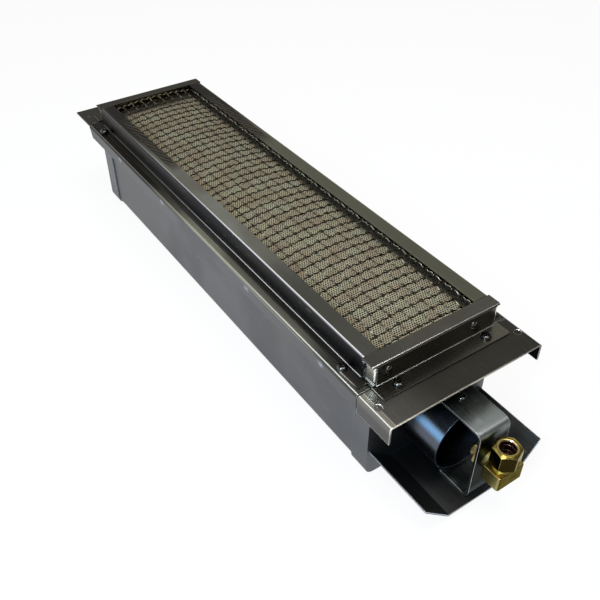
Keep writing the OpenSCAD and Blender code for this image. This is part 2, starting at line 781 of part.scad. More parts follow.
module tube_saddle() {
    floor_z = sheet_t - trough_h + weld_gap;
    color("slategray") place() difference() {
        union() {
            translate([-saddle_w / 2, saddle_y, floor_z])
                cube([saddle_w, inner_t, trough_h - tube_drop - sheet_t - weld_gap]);
            translate([-saddle_w / 2, saddle_y, floor_z]) cube([saddle_w, saddle_foot, inner_t]);
        }
        translate([0, saddle_y - 1, -tube_drop]) rotate([-90, 0, 0])
            cylinder(d = tube_d + 2 * slip_gap, h = inner_t + 2, $fn = 96);
    }
}

module orifice_bracket() {
    y_web = web_y + strap_t / 2;
    z_top = tube_top + strap_t / 2 + weld_gap;
    z_low = tray_top + strap_t / 2;
    path = [[front_y + strap_top_in, z_top], [y_web, z_top], [y_web, z_low], [y_web + strap_foot, z_low]];
    color("lightslategray") place() difference() {
        along_x(strap_w) polygon(sheet(path, [strap_r, strap_r], strap_t));
        translate([0, web_y, -tube_drop]) rotate([90, 0, 0])
            cylinder(d = stub_d + 2 * run_gap, h = 4 * strap_t, center = true);
        tube_screw_place() cylinder(d = tube_screw_d + hole_gap, h = 6 * strap_t, center = true);
    }
}

module air_tray() {
    z = tray_top - tray_t / 2;
    path = both([[tray_floor_w / 2 + tray_wing_w, z + tray_wing_h], [tray_floor_w / 2, z]]);
    back = -body_l / 2 - weld_gap;
    side = trough_w / 2;
    color("dimgray") place() {
        intersection() {
            along_y(tray_front, back - tray_front)
                polygon(sheet(path, [tray_bend_r, tray_bend_r], tray_t));
            translate([0, 0, -cap_h]) linear_extrude(cap_h) polygon(both([[side, back],
                [side, tray_front + tray_setback], [tray_floor_w / 2, tray_front]]));
        }
        translate([tray_flange_in - tray_floor_w / 2, back - tray_t, z - tray_flange_h])
            cube([tray_floor_w - 2 * tray_flange_in, tray_t, tray_flange_h]);
    }
}

module brass_elbow() {
    color("goldenrod") place() difference() {
        union() {
            translate([0, nut_y, -tube_drop - elbow_h / 2]) linear_extrude(elbow_h)
                polygon(round_rect(elbow_w, elbow_l, elbow_r));
            translate([0, block_y - eps, -tube_drop]) rotate([-90, 0, 0])
                cylinder(d = stub_d + 2 * shoulder_rim, h = shoulder_l + eps - weld_gap);
            translate([0, block_y, -tube_drop]) rotate([-90, 0, 0])
                cylinder(d = stub_d, h = stub_end - block_y);
            translate([0, nut_y, block_top - eps]) cylinder(d = neck_d, h = neck_h + eps);
        }
        translate([0, nut_y, -tube_drop]) cylinder(d = passage_d, h = neck_h + elbow_h);
        translate([0, nut_y, neck_top - ferrule_l - socket_l])
            cylinder(d = supply_d + 2 * run_gap, h = neck_h);
        translate([0, nut_y, ferrule_z - run_gap]) cylinder(d = socket_d, h = neck_h);
        translate([0, nut_y, -tube_drop]) rotate([-90, 0, 0])
            cylinder(d = passage_d, h = stub_end - nut_y + 1);
        translate([0, stub_end - spud_thread_l - weld_gap, -tube_drop]) rotate([-90, 0, 0])
            cylinder(d = spud_d + 2 * run_gap, h = 2 * spud_thread_l);
    }
}

module spud_locknut() {
    color("goldenrod") place() translate([0, web_y + strap_t + weld_gap, -tube_drop]) rotate([-90, 0, 0])
        difference() {
            hex_blank(locknut_af, locknut_h, hex_face_in);
            translate([0, 0, -1]) cylinder(d = stub_d + 2 * run_gap, h = locknut_h + 2);
        }
}

module orifice_spud() {
    color("gold") place() translate([0, stub_end + weld_gap, -tube_drop]) rotate([-90, 0, 0]) difference() {
        union() {
            hex_blank(spud_af, spud_hex_l, hex_face_in);
            translate([0, 0, -spud_thread_l]) cylinder(d = spud_d, h = spud_thread_l + eps);
            translate([0, 0, spud_hex_l - eps])
                cylinder(d1 = spud_tip_d1, d2 = spud_tip_d2, h = spud_tip_l);
        }
        translate([0, 0, -spud_thread_l - 1])
            cylinder(d = spud_bore_d, h = spud_thread_l + spud_hex_l + 1);
        cylinder(d = orifice_d, h = spud_hex_l + spud_tip_l + 1);
    }
}

module ferrule() {
    taper = ferrule_l / 4;
    color("darkgoldenrod") place() translate([0, nut_y, ferrule_z]) rotate_extrude()
        polygon([[supply_d / 2 + run_gap, 0], [ferrule_d / 2 - ferrule_t / 2, 0], [ferrule_d / 2, taper],
            [ferrule_d / 2, ferrule_l - taper], [ferrule_d / 2 - ferrule_t / 2, ferrule_l],
            [supply_d / 2 + run_gap, ferrule_l]]);
}

module compression_nut() {
    color("gold") place() translate([0, nut_y, nut_z]) rotate([0, 0, nut_turn]) difference() {
        hex_blank(nut_af, nut_h, nut_face_in);
        translate([0, 0, -1]) cylinder(d = neck_d + 2 * run_gap, h = nut_inner - nut_z + 1);
        cylinder(d = supply_d + nut_hole_gap, h = nut_h + 1);
        translate([0, 0, nut_h - nut_lead]) cylinder(d1 = supply_d + nut_hole_gap,
            d2 = supply_d + nut_hole_gap + 4 * nut_lead, h = 2 * nut_lead);
    }
}

module bar_screws() {
    color("lightgray") place() both_ends() bar_screw_places() translate([0, 0, frame_t + weld_gap])
        pan_screw(screw_d, screw_head_d, screw_head_h, screw_l);
}

module rail_screws() {
    color("lightgray") place() rail_screw_places() translate([0, 0, frame_t + weld_gap])
        pan_screw(screw_d, screw_head_d, screw_head_h, screw_l);
}

module bar_rivets() {
    grip = frame_t + clip_t + 2 * weld_gap;
    color("whitesmoke") place() both_ends() bar_rivet_places() translate([0, 0, weld_gap]) union() {
        rotate_extrude() polygon(concat([[0, 0]], [for (k = [0:bend_n]) let (a = 90 * k / bend_n)
            [rivet_head_d / 2 * cos(a), rivet_head_d * 0.3 * sin(a)]]));
        translate([0, 0, -grip - rivet_tail_l]) cylinder(d = rivet_d, h = grip + rivet_tail_l + eps);
        translate([0, 0, -grip - rivet_tail_l]) cylinder(d = rivet_tail_d, h = rivet_tail_l);
    }
}

module tube_screw() {
    color("lightgray") place() tube_screw_place() translate([0, 0, strap_t + 2 * weld_gap])
        pan_screw(tube_screw_d, tube_head_d, tube_head_h, tube_screw_l);
}

burner_trough();
front_end_cap();
rear_end_cap();
front_plate();
rear_plate();
left_screen_rail();
right_screen_rail();
front_screen_bar();
rear_screen_bar();
screen_long_wires();
screen_cross_wires();
screen_clips();
ceramic_plaque_1();
ceramic_plaque_2();
ceramic_plaque_3();
plaque_cement();
plaque_gasket();
left_plaque_ledge();
right_plaque_ledge();
front_plaque_ledge();
rear_plaque_ledge();
baffle_plate();
mixing_tube();
tube_saddle();
orifice_bracket();
air_tray();
brass_elbow();
spud_locknut();
orifice_spud();
ferrule();
compression_nut();
bar_screws();
rail_screws();
bar_rivets();
tube_screw();
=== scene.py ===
"""Dressed model of an infrared gas burner.

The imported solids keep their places. This script gives each of them its finish, replaces the
plain screen wires by crimped and woven ones, and sets up the floor, the light and the camera.
"""

from __future__ import annotations

import logging
import math
from dataclasses import dataclass, field, replace
from enum import Enum
from functools import cached_property
from typing import Callable, Iterable, Sequence

import bmesh
import bpy
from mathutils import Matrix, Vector

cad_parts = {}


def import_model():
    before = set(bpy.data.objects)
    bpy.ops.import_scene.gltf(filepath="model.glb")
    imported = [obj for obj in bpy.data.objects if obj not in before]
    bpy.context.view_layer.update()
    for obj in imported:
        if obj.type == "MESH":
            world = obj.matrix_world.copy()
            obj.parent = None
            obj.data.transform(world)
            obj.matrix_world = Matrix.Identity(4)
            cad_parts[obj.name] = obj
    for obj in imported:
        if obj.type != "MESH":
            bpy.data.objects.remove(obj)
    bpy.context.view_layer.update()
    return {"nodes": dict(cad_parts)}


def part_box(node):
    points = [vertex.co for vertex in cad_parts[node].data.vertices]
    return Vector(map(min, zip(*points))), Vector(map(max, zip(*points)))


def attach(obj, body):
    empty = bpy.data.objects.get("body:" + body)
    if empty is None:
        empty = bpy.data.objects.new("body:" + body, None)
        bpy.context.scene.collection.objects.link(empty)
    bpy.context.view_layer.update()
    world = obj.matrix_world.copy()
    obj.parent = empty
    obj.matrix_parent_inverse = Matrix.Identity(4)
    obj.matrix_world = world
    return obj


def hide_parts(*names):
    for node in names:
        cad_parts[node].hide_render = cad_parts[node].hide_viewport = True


LOG = logging.getLogger("burner")
MM = 0.001
STREAK_RANGE = (0.3, 0.7)
VECTORS = ("Place", "Stretch", "Normal")

Colour = tuple[float, float, float]
Point = tuple[float, float, float]
Socket = bpy.types.NodeSocket
Node = bpy.types.Node
Tree = bpy.types.NodeTree
Outputs = bpy.types.NodeOutputs
Scalar = Socket | float
Value = Scalar | Sequence[float]


def rgb(*levels: int) -> Colour:
    """Turn three display levels of 0 to 255 into a linear colour."""
    shares = (level / 255.0 for level in levels)
    return tuple(
        share / 12.92 if share <= 0.04045 else ((share + 0.055) / 1.055) ** 2.4
        for share in shares)


class Axis(Enum):
    """Direction in the shared frame."""

    X = 0
    Y = 1
    Z = 2


X, Y, Z = Axis


class Graph:
    """Short way to add nodes to one node tree and to join them."""

    def __init__(self, tree: Tree) -> None:
        """Keep the tree that the nodes go into."""
        self.tree = tree

    def add(
        self, kind: str, given: dict[str | int, Value] | None = None, **settings: object,
    ) -> Node:
        """Add a shader node.

        Args:
            kind: Blender's name of the node type, after its first part.
            given: What its inputs are given, by their names or numbers.
            settings: Attributes to set on it.

        Returns:
            The new node.
        """
        node = self.tree.nodes.new(f"ShaderNode{kind}")
        for name, value in settings.items():
            setattr(node, name, value)
        for name, value in (given or {}).items():
            self.put(node.inputs[name], value)
        return node

    def put(self, socket: Socket, value: Value) -> None:
        """Link a socket into an input, or set the input's constant.

        Args:
            socket: The input.
            value: The socket or the constant.
        """
        if isinstance(value, Socket):
            self.tree.links.new(value, socket)
        elif isinstance(value, (int, float)):
            socket.default_value = value
        else:
            wide = len(socket.default_value) == 4 and len(value) == 3
            socket.default_value = (*value, 1.0) if wide else tuple(value)

    def math(self, operation: str, a: Scalar, b: Scalar = 0.0, c: Scalar = 0.0) -> Socket:
        """Add a scalar operation and return its result."""
        return self.add("Math", {0: a, 1: b, 2: c}, operation=operation).outputs[0]

    def times(self, a: Scalar, b: Scalar) -> Socket:
        """Multiply two values."""
        return self.math("MULTIPLY", a, b)

    def minus(self, a: Scalar, b: Scalar) -> Socket:
        """Take the second value from the first."""
        return self.math("SUBTRACT", a, b)

    def rest(self, mask: Socket) -> Socket:
        """Give what a mask leaves free."""
        return self.minus(1.0, mask)

    def length(self, a: Socket, b: Socket) -> Socket:
        """Give the length of a line from its two sides at right angles."""
        return self.math("SQRT", self.math("ADD", self.times(a, a), self.times(b, b)))

    def vector(self, operation: str, a: Socket | Point, b: Socket | Point = (0, 0, 0)) -> Node:
        """Add a vector operation and return its node."""
        return self.add("VectorMath", {0: a, 1: b}, operation=operation)

    def split(self, value: Socket) -> Outputs:
        """Give a vector's parts by the names X, Y and Z."""
        return self.add("SeparateXYZ", {0: value}).outputs

    def step(self, value: Socket, low: float, high: float) -> Socket:
        """Rise smoothly from 0 at low to 1 at high."""
        given = {"Value": value, "From Min": low, "From Max": high}
        return self.add("MapRange", given, interpolation_type="SMOOTHSTEP").outputs["Result"]

    def ranged(self, value: Socket, low: float, high: float) -> Socket:
        """Stretch a value between 0 and 1 to one between low and high."""
        return self.math("MULTIPLY_ADD", value, high - low, low)

    def mix(
        self, share: Scalar, a: Socket | Colour, b: Socket | Colour, blend: str = "MIX",
    ) -> Socket:
        """Blend two colours by a share."""
        given = {"Factor": share, "A": a, "B": b}
        return self.add("Mix", given, data_type="RGBA", blend_type=blend).outputs["Result"]

    def join(self, share: Socket, first: Node, second: Node) -> Socket:
        """Blend two shaders by a share."""
        given = {0: share, 1: first.outputs[0], 2: second.outputs[0]}
        return self.add("MixShader", given).outputs[0]

    def noise(self, place: Socket, scale: float, detail: float = 2.0, rough: float = 0.5) -> Socket:
        """Add a noise texture and return its value."""
        given = {"Vector": place, "Scale": scale, "Detail": detail, "Roughness": rough}
        return self.add("TexNoise", given).outputs["Fac"]

    def facing(self) -> Outputs:
        """Give the parts of the surface's normal in the part's own frame."""
        return self.split(self.add("TexCoord").outputs["Normal"])

    def group(
        self, tree: Tree, **values: Value,
    ) -> Outputs:
        """Place a node group.

        Args:
            tree: The group.
            values: What its inputs are given, by their names in lower case.

        Returns:
            The group's outputs.
        """
        given = {name.capitalize(): value for name, value in values.items()}
        return self.add("Group", given, node_tree=tree).outputs


def new_group(
    name: str, inputs: Sequence[str], outputs: Sequence[str],
) -> tuple[Graph, Outputs, bpy.types.NodeInputs]:
    """Start a shader node group.

    Args:
        name: The group's name.
        inputs: Its inputs' names.
        outputs: Its outputs' names.

    Returns:
        The graph to build in, what the group is given, and what it puts out.
    """
    tree = bpy.data.node_groups.new(name, "ShaderNodeTree")
    for way, labels in (("INPUT", inputs), ("OUTPUT", outputs)):
        for label in labels:
            kind = "NodeSocketVector" if label in VECTORS else "NodeSocketFloat"
            tree.interface.new_socket(label, in_out=way, socket_type=kind)
    graph = Graph(tree)
    given, out = (tree.nodes.new(kind) for kind in ("NodeGroupInput", "NodeGroupOutput"))
    return graph, given.outputs, out.inputs


class Effects:
    """Shader effects that several finishes share, each built once."""

    @cached_property
    def edge(self) -> Tree:
        """Painted highlight along bends and cut edges, broken by some gaps, and the rounded normal
        there.
        """
        graph, given, out = new_group("edge highlight", ("Place", "Radius", "Gaps"), ("Mask", "Normal"))
        bevel = graph.add("Bevel", {"Radius": given["Radius"]}, samples=6)
        flat = graph.add("NewGeometry").outputs["Normal"]
        turn = graph.vector("DOT_PRODUCT", bevel.outputs["Normal"], flat).outputs["Value"]
        rim = graph.step(graph.rest(turn), 0.01, 0.12)
        # Noise that breaks the painted highlight into pieces.
        worn = graph.step(graph.noise(given["Place"], 260.0, 3.0), 0.35, 0.62)
        left = graph.math("ADD", graph.rest(given["Gaps"]), graph.times(worn, given["Gaps"]))
        graph.put(out["Mask"], graph.times(rim, left))
        graph.put(out["Normal"], bevel.outputs["Normal"])
        return graph.tree

    @cached_property
    def grain(self) -> Tree:
        """Long thin streaks that rolling or brushing leaves in sheet metal."""
        graph, given, out = new_group("rolled grain", ("Place", "Stretch"), ("Streak",))
        place = graph.vector("MULTIPLY", given["Place"], given["Stretch"]).outputs[0]
        coarse = graph.times(graph.noise(place, 1.0, 3.0, 0.6), 0.6)
        fine = graph.times(graph.noise(place, 4.0), 0.4)
        graph.put(out["Streak"], graph.math("ADD", coarse, fine))
        return graph.tree

    @cached_property
    def stain(self) -> Tree:
        """Soft cloudy patches of oil, heat tint and fingerprints."""
        graph, given, out = new_group("handling stain", ("Place", "Size"), ("Cloud", "Patch"))
        scaling = {0: given["Place"], "Scale": given["Size"]}
        scaled = graph.add("VectorMath", scaling, operation="SCALE").outputs[0]
        shifted = graph.vector("ADD", scaled, (7.3, 2.1, 4.7)).outputs[0]
        graph.put(out["Cloud"], graph.step(graph.noise(scaled, 1.0, 4.0, 0.55), 0.36, 0.66))
        graph.put(out["Patch"], graph.step(graph.noise(shifted, 0.6), 0.52, 0.7))
        return graph.tree

    @cached_property
    def scratch(self) -> Tree:
        """Sparse hairline scratches in two slanting directions."""
        graph, given, out = new_group("fine scratches", ("Place", "Amount"), ("Mask",))
        masks = []
        for turn in (0.5, -0.9):
            mapping = graph.add("Mapping", {
                "Vector": given["Place"], "Rotation": (turn, turn * 0.6, turn * 1.3),
                "Scale": (2600.0, 70.0, 900.0)})
            masks.append(graph.step(graph.noise(mapping.outputs[0], 1.0, 1.0), 0.72, 0.78))
        graph.put(out["Mask"], graph.times(graph.math("MAXIMUM", *masks), given["Amount"]))
        return graph.tree

    @cached_property
    def upright(self) -> Tree:
        """Mask of the faces that stand upright."""
        graph, _, out = new_group("upright faces", (), ("Mask",))
        level = graph.math("ABSOLUTE", graph.facing()["Z"])
        graph.put(out["Mask"], graph.rest(graph.step(level, 0.72, 0.86)))
        return graph.tree

    @cached_property
    def bent(self) -> Tree:
        """Masks of the upper and the lower strip of a bend from level to upright."""
        graph, _, out = new_group("bent faces", (), ("Crest", "Skirt"))
        level = graph.facing()["Z"]
        for name, low, high in (("Crest", 0.86, 0.95), ("Skirt", 0.66, 0.80)):
            fall = graph.rest(graph.step(level, high, high + 0.04))
            graph.put(out[name], graph.times(graph.step(level, low - 0.05, low), fall))
        return graph.tree

    @cached_property
    def ports(self) -> Tree:
        """Hexagonal rows of small round ports in the plaques' faces."""
        graph, given, out = new_group("flame ports", ("Place", "Pitch", "Radius"), ("Mask", "Bowl"))
        parts = graph.split(given["Place"])
        tall = graph.times(given["Pitch"], math.sqrt(3.0))
        distances = []
        for shift in (0.0, 0.5):
            sides = []
            for name, size in (("X", given["Pitch"]), ("Y", tall)):
                cell = graph.math("ADD", graph.math("DIVIDE", parts[name], size), shift + 50.0)
                sides.append(graph.times(graph.minus(graph.math("FRACT", cell), 0.5), size))
            distances.append(graph.length(*sides))
        near = graph.math("DIVIDE", graph.math("MINIMUM", *distances), given["Radius"])
        graph.put(out["Mask"], graph.rest(graph.step(near, 0.82, 1.08)))
        graph.put(out["Bowl"], graph.rest(graph.step(near, 0.4, 1.25)))
        return graph.tree


class Coat(Graph):
    """Node tree of a material, with the place on the surface that it paints."""

    def __init__(self, name: str, effects: Effects | None = None) -> None:
        """Start a material.

        Args:
            name: The material's name.
            effects: The shared effects, for a coat that uses them.
        """
        self.material = bpy.data.materials.new(name)
        self.material.use_nodes = True
        super().__init__(self.material.node_tree)
        self.effects = effects
        self.shader = self.found("BSDF_PRINCIPLED")
        self.place = self.add("TexCoord").outputs["Object"]
        self.parts = self.split(self.place)

    def found(self, kind: str) -> Node:
        """Find the material's own node of a kind."""
        return next(node for node in self.tree.nodes if node.type == kind)

    def fill(self, name: str, value: Value) -> None:
        """Feed one of the shader's inputs."""
        self.put(self.shader.inputs[name], value)

    def effect(self, name: str, **values: Value) -> Outputs:
        """Place a shared effect that depends on the place, and give its outputs."""
        return self.group(getattr(self.effects, name), place=self.place, **values)

    def upright(self) -> Socket:
        """Give the mask of the upright faces."""
        return self.group(self.effects.upright)["Mask"]


def new_object(name: str, data: bpy.types.ID) -> bpy.types.Object:
    """Make an object of some data and link it to the scene."""
    made = bpy.data.objects.new(name, data)
    bpy.context.scene.collection.objects.link(made)
    return made


def bump(coat: Coat, height: Socket, depth: float, normal: Socket | None = None) -> Socket:
    """Turn a height between 0 and 1 into a normal.

    Args:
        coat: The material's coat.
        height: The height.
        depth: Its full depth in metres.
        normal: A normal to start from.

    Returns:
        The new normal.
    """
    given = {"Strength": 1.0, "Distance": depth, "Height": height}
    if normal is not None:
        given["Normal"] = normal
    return coat.add("Bump", given).outputs["Normal"]


class Mark:
    """Part of a surface that has a tone of its own, often a painted light or shade."""

    colour: Colour

    def mask(self, coat: Coat) -> Socket:
        """Build the mask of the part.

        Args:
            coat: The coat that uses it.

        Returns:
            The mask's socket.
        """
        raise NotImplementedError

    def lay(self, coat: Coat, tone: Socket) -> Socket:
        """Lay the part's own tone over another one."""
        return coat.mix(self.mask(coat), tone, self.colour)

    def spare(self, coat: Coat, mask: Socket) -> Socket:
        """Take the part out of another mask."""
        return coat.times(mask, coat.rest(self.mask(coat)))


@dataclass(frozen=True)
class Zone(Mark):
    """Stretch of a piece along one axis."""

    axis: Axis
    start: float
    full: float
    colour: Colour = (0.0, 0.0, 0.0)
    share: float = 1.0
    middle: float | None = None
    ragged: float = 0.0
    within: Zone | None = None
    wander_scale: float = 70.0

    def mask(self, coat: Coat) -> Socket:
        """Build the mask, which rises from the zone's start to where it is full."""
        along = coat.parts[self.axis.value]
        if self.middle is not None:
            along = coat.math("ABSOLUTE", coat.minus(along, self.middle))
        if self.ragged:
            wander = coat.minus(coat.noise(coat.place, self.wander_scale, 3.0), 0.5)
            along = coat.math("MULTIPLY_ADD", wander, self.ragged, along)
        rise = coat.step(along, min(self.start, self.full), max(self.start, self.full))
        if self.full < self.start:
            rise = coat.rest(rise)
        if self.within is not None:
            rise = coat.times(rise, self.within.mask(coat))
        return coat.times(rise, self.share)


@dataclass(frozen=True)
class WireReflection(Mark):
    """Painted reflection of the screen's wires: slanting light and dark stripes near the inner edge
    of a polished lip.
    """

    pitch: float
    reach: tuple[float, float]
    start: float
    colour: Colour
    share: float = 0.6
    slope: float = 2.2
    ends: tuple[float, float] = (6 * MM, 20 * MM)
    fade: float = 1.6 * MM

    def mask(self, coat: Coat) -> Socket:
        """Build the mask of the light stripes."""
        wander = coat.times(coat.noise(coat.place, 160.0), self.pitch)
        slant = coat.math("MULTIPLY_ADD", coat.parts["X"], self.slope, coat.parts["Y"])
        turn = coat.times(coat.math("ADD", slant, wander), math.tau / self.pitch)
        stripe = coat.step(coat.math("SINE", turn), 0.0, 0.7)
        (first, last), (lead, tail) = self.reach, self.ends
        for end in (Zone(Y, first - lead, first), Zone(Y, last + tail, last),
                    Zone(X, self.start + self.fade, self.start, middle=0.0)):
            stripe = coat.times(stripe, end.mask(coat))
        return coat.times(stripe, self.share)


@dataclass(frozen=True)
class WeldMarks(Mark):
    """Faint smudged spots that spot welds leave on a side lip."""

    places: tuple[float, ...]
    height: float
    radius: float = 2.8 * MM
    share: float = 0.7
    narrow: float = 0.7
    smudge: float = 1.6
    colour: Colour = rgb(176, 194, 206)

    def mask(self, coat: Coat) -> Socket:
        """Build the mask of all the spots."""
        smear = coat.minus(coat.noise(coat.place, 420.0, 3.0, 0.6), 0.5)
        spots: Scalar = 0.0
        for y in self.places:
            along = coat.times(coat.minus(coat.parts["Y"], y), self.narrow)
            away = coat.length(along, coat.minus(coat.parts["Z"], self.height))
            away = coat.math("MULTIPLY_ADD", smear, self.radius * self.smudge, away)
            spots = coat.math("MAXIMUM", spots, coat.rest(coat.step(away, 0.0, self.radius)))
        return coat.times(spots, self.share)


@dataclass(frozen=True)
class Bore(Mark):
    """Painted shade inside an upright hole; with a pale colour, a painted highlight on the ring
    round it.
    """

    middle: tuple[float, float]
    radius: float
    # Colour of the painted shade in the hole.
    colour: Colour = rgb(128, 106, 103)
    fade: float = 0.15 * MM

    def mask(self, coat: Coat) -> Socket:
        """Build the mask, which is full inside the hole's edge."""
        sides = (coat.minus(coat.parts[name], at) for name, at in zip("XY", self.middle))
        reach = coat.length(*sides)
        return coat.rest(coat.step(reach, self.radius, self.radius + self.fade))


@dataclass(frozen=True)
class Finish:
    """Finish of one or more pieces."""

    name: str

    def build(self, effects: Effects) -> bpy.types.Material:
        """Build the material.

        Args:
            effects: The shared effects.

        Returns:
            The material.
        """
        coat = Coat(self.name, effects)
        self.paint(coat)
        return coat.material

    def paint(self, coat: Coat) -> None:
        """Paint the surface.

        Args:
            coat: The material's coat.
        """
        raise NotImplementedError


@dataclass(frozen=True)
class SheetFinish(Finish):
    """Finish of a formed sheet-metal piece."""

    colour: Colour
    shade: Colour
    stain: Colour
    # Colour of the painted highlights on edges and bends, also of the scratches.
    edge: Colour
    roughness: float = 0.3
    rough_spread: float = 0.14
    grain_axis: Axis = Y
    grain_fine: float = 900.0
    grain_long: float = 14.0
    grain_depth: float = 0.004 * MM
    around: bool = False
    stain_share: float = 0.45
    stain_size: float = 22.0
    scratches: float = 0.35
    scratch_share: float = 0.4
    edge_radius: float = 0.45 * MM
    edge_gaps: float = 0.35
    edge_share: float = 0.8
    # Zone that keeps the painted edge highlight; outside it the highlight is left out.
    edge_zone: Zone | None = None
    waviness: float = 0.03 * MM
    # Painted light on bends: a highlight on their upper strip, and a lighter or darker colour on
    # their lower strip.
    crest_highlight_share: float = 0.0
    skirt_share: float = 0.0
    skirt_light: Colour = rgb(150, 146, 160)
    # Painted shade on the upright faces.
    upright_shade: Colour | None = None
    marks: tuple[Mark, ...] = ()
    # Zones where the painted edge and bend light is taken out.
    dims: tuple[Zone, ...] = ()
    matt: Zone | None = None
    welds: WeldMarks | None = None
    glance: Colour = (1.0, 1.0, 1.0)

    def paint(self, coat: Coat) -> None:
        """Paint streaked and stained sheet with painted highlights on edges and bends."""
        stretch = [self.grain_long if self.around else self.grain_fine] * 3
        stretch[self.grain_axis.value] = self.grain_fine if self.around else self.grain_long
        streak = coat.effect("grain", stretch=stretch)["Streak"]
        stain = coat.effect("stain", size=self.stain_size)
        edge = coat.effect("edge", radius=self.edge_radius, gaps=self.edge_gaps)
        bent = coat.group(coat.effects.bent)
        tone = coat.mix(coat.step(streak, *STREAK_RANGE), self.shade, self.colour)
        tone = coat.mix(coat.times(stain["Cloud"], self.stain_share), tone, self.stain)
        tone = self.marked(coat, tone)
        # Painted light on the lower strip of bends.
        if self.skirt_share:
            lower = self.dimmed(coat, coat.times(bent["Skirt"], self.skirt_share))
            tone = coat.mix(lower, tone, self.skirt_light)
        # Painted highlights along edges and on the upper strip of bends.
        bright = coat.times(edge["Mask"], self.edge_share)
        if self.edge_zone is not None:
            bright = coat.times(bright, self.edge_zone.mask(coat))
        if self.crest_highlight_share:
            crest = coat.times(bent["Crest"], self.crest_highlight_share)
            bright = coat.math("MAXIMUM", bright, crest)
        tone = coat.mix(self.dimmed(coat, bright), tone, self.edge)
        coat.fill("Base Color", tone)
        sheen = 1.0 if self.matt is None else coat.rest(self.matt.mask(coat))
        coat.fill("Metallic", sheen)
        coat.fill("Specular Tint", self.glance)
        rough = coat.math("ADD", coat.ranged(streak, -0.5, 0.5), stain["Patch"])
        rough = coat.math("MULTIPLY_ADD", rough, self.rough_spread, self.roughness)
        coat.fill("Roughness", rough)
        swell = bump(coat, coat.noise(coat.place, 26.0, 1.0), self.waviness, edge["Normal"])
        coat.fill("Normal", bump(coat, streak, self.grain_depth, swell))

    def marked(self, coat: Coat, tone: Socket) -> Socket:
        """Lay the painted shade of the upright faces, the marks, the scratches and the weld spots
        over a tone.
        """
        if self.upright_shade is not None:
            tone = coat.mix(coat.upright(), tone, self.upright_shade)
        for mark in self.marks:
            tone = mark.lay(coat, tone)
        scratch = coat.effect("scratch", amount=self.scratches)["Mask"]
        tone = coat.mix(coat.times(scratch, self.scratch_share), tone, self.edge)
        return tone if self.welds is None else self.welds.lay(coat, tone)

    def dimmed(self, coat: Coat, mask: Socket) -> Socket:
        """Take the dim zones out of a mask."""
        for dim in self.dims:
            mask = dim.spare(coat, mask)
        return mask


@dataclass(frozen=True)
class BrassFinish(Finish):
    """Turned and forged brass."""

    colour: Colour = rgb(214, 188, 112)
    dull: Colour = rgb(172, 142, 70)
    roughness: float = 0.2
    rough_spread: float = 0.2
    stain_size: float = 150.0
    # Colour of the painted highlight on edges.
    edge: Colour = rgb(226, 204, 128)
    edge_share: float = 0.6
    edge_radius: float = 0.5 * MM
    edge_gaps: float = 0.2
    speckle_depth: float = 0.012 * MM
    # Painted shade on the upright faces.
    upright_shade: Colour | None = None
    upright_shade_share: float = 0.96
    zones: tuple[Zone, ...] = ()
    bores: tuple[Bore, ...] = ()
    glance: Colour = rgb(230, 222, 184)

    def paint(self, coat: Coat) -> None:
        """Paint cloudy brass with painted highlights on edges and painted shade on upright faces,
        with the bores' painted tones.
        """
        stain = coat.effect("stain", size=self.stain_size)
        edge = coat.effect("edge", radius=self.edge_radius, gaps=self.edge_gaps)
        tone = coat.mix(stain["Cloud"], self.colour, self.dull)
        if self.upright_shade is not None:
            upright = coat.times(coat.upright(), self.upright_shade_share)
            tone = coat.mix(upright, tone, self.upright_shade)
        for zone in self.zones:
            tone = zone.lay(coat, tone)
        tone = coat.mix(coat.times(edge["Mask"], self.edge_share), tone, self.edge)
        for bore in self.bores:
            tone = bore.lay(coat, tone)
        coat.fill("Base Color", tone)
        coat.fill("Metallic", 1.0)
        coat.fill("Specular Tint", self.glance)
        rough = coat.math("MULTIPLY_ADD", stain["Patch"], self.rough_spread, self.roughness)
        coat.fill("Roughness", rough)
        speckle = coat.noise(coat.place, 900.0, 3.0)
        coat.fill("Normal", bump(coat, speckle, self.speckle_depth, edge["Normal"]))


@dataclass(frozen=True)
class CeramicFinish(Finish):
    """Fired cordierite plaque with rows of flame ports."""

    colour: Colour = rgb(176, 173, 146)
    warm: Colour = rgb(166, 150, 128)
    # Painted shade inside the ports.
    port_shade: Colour = rgb(42, 38, 30)
    sand: Colour = rgb(120, 110, 84)
    sand_share: float = 0.25
    sand_depth: float = 0.03 * MM
    pitch: float = 1.79 * MM
    port_radius: float = 0.64 * MM
    port_depth: float = 0.5 * MM
    stain_size: float = 60.0
    zones: tuple[Zone, ...] = ()

    def paint(self, coat: Coat) -> None:
        """Paint sandy ceramic with ports sunk into it, painted dark as the shade inside them."""
        ports = coat.effect("ports", pitch=self.pitch, radius=self.port_radius)
        stain = coat.effect("stain", size=self.stain_size)
        sand = coat.noise(coat.place, 2600.0, 3.0, 0.7)
        tone = coat.mix(stain["Cloud"], self.colour, self.warm)
        grit = coat.times(coat.step(sand, 0.35, 0.65), self.sand_share)
        tone = coat.mix(grit, tone, self.sand)
        tone = coat.mix(ports["Mask"], tone, self.port_shade)
        for zone in self.zones:
            tone = zone.lay(coat, tone)
        coat.fill("Base Color", tone)
        coat.fill("Roughness", 0.92)
        coat.fill("Specular IOR Level", 0.25)
        deep = bump(coat, coat.rest(ports["Bowl"]), self.port_depth)
        coat.fill("Normal", bump(coat, sand, self.sand_depth, deep))


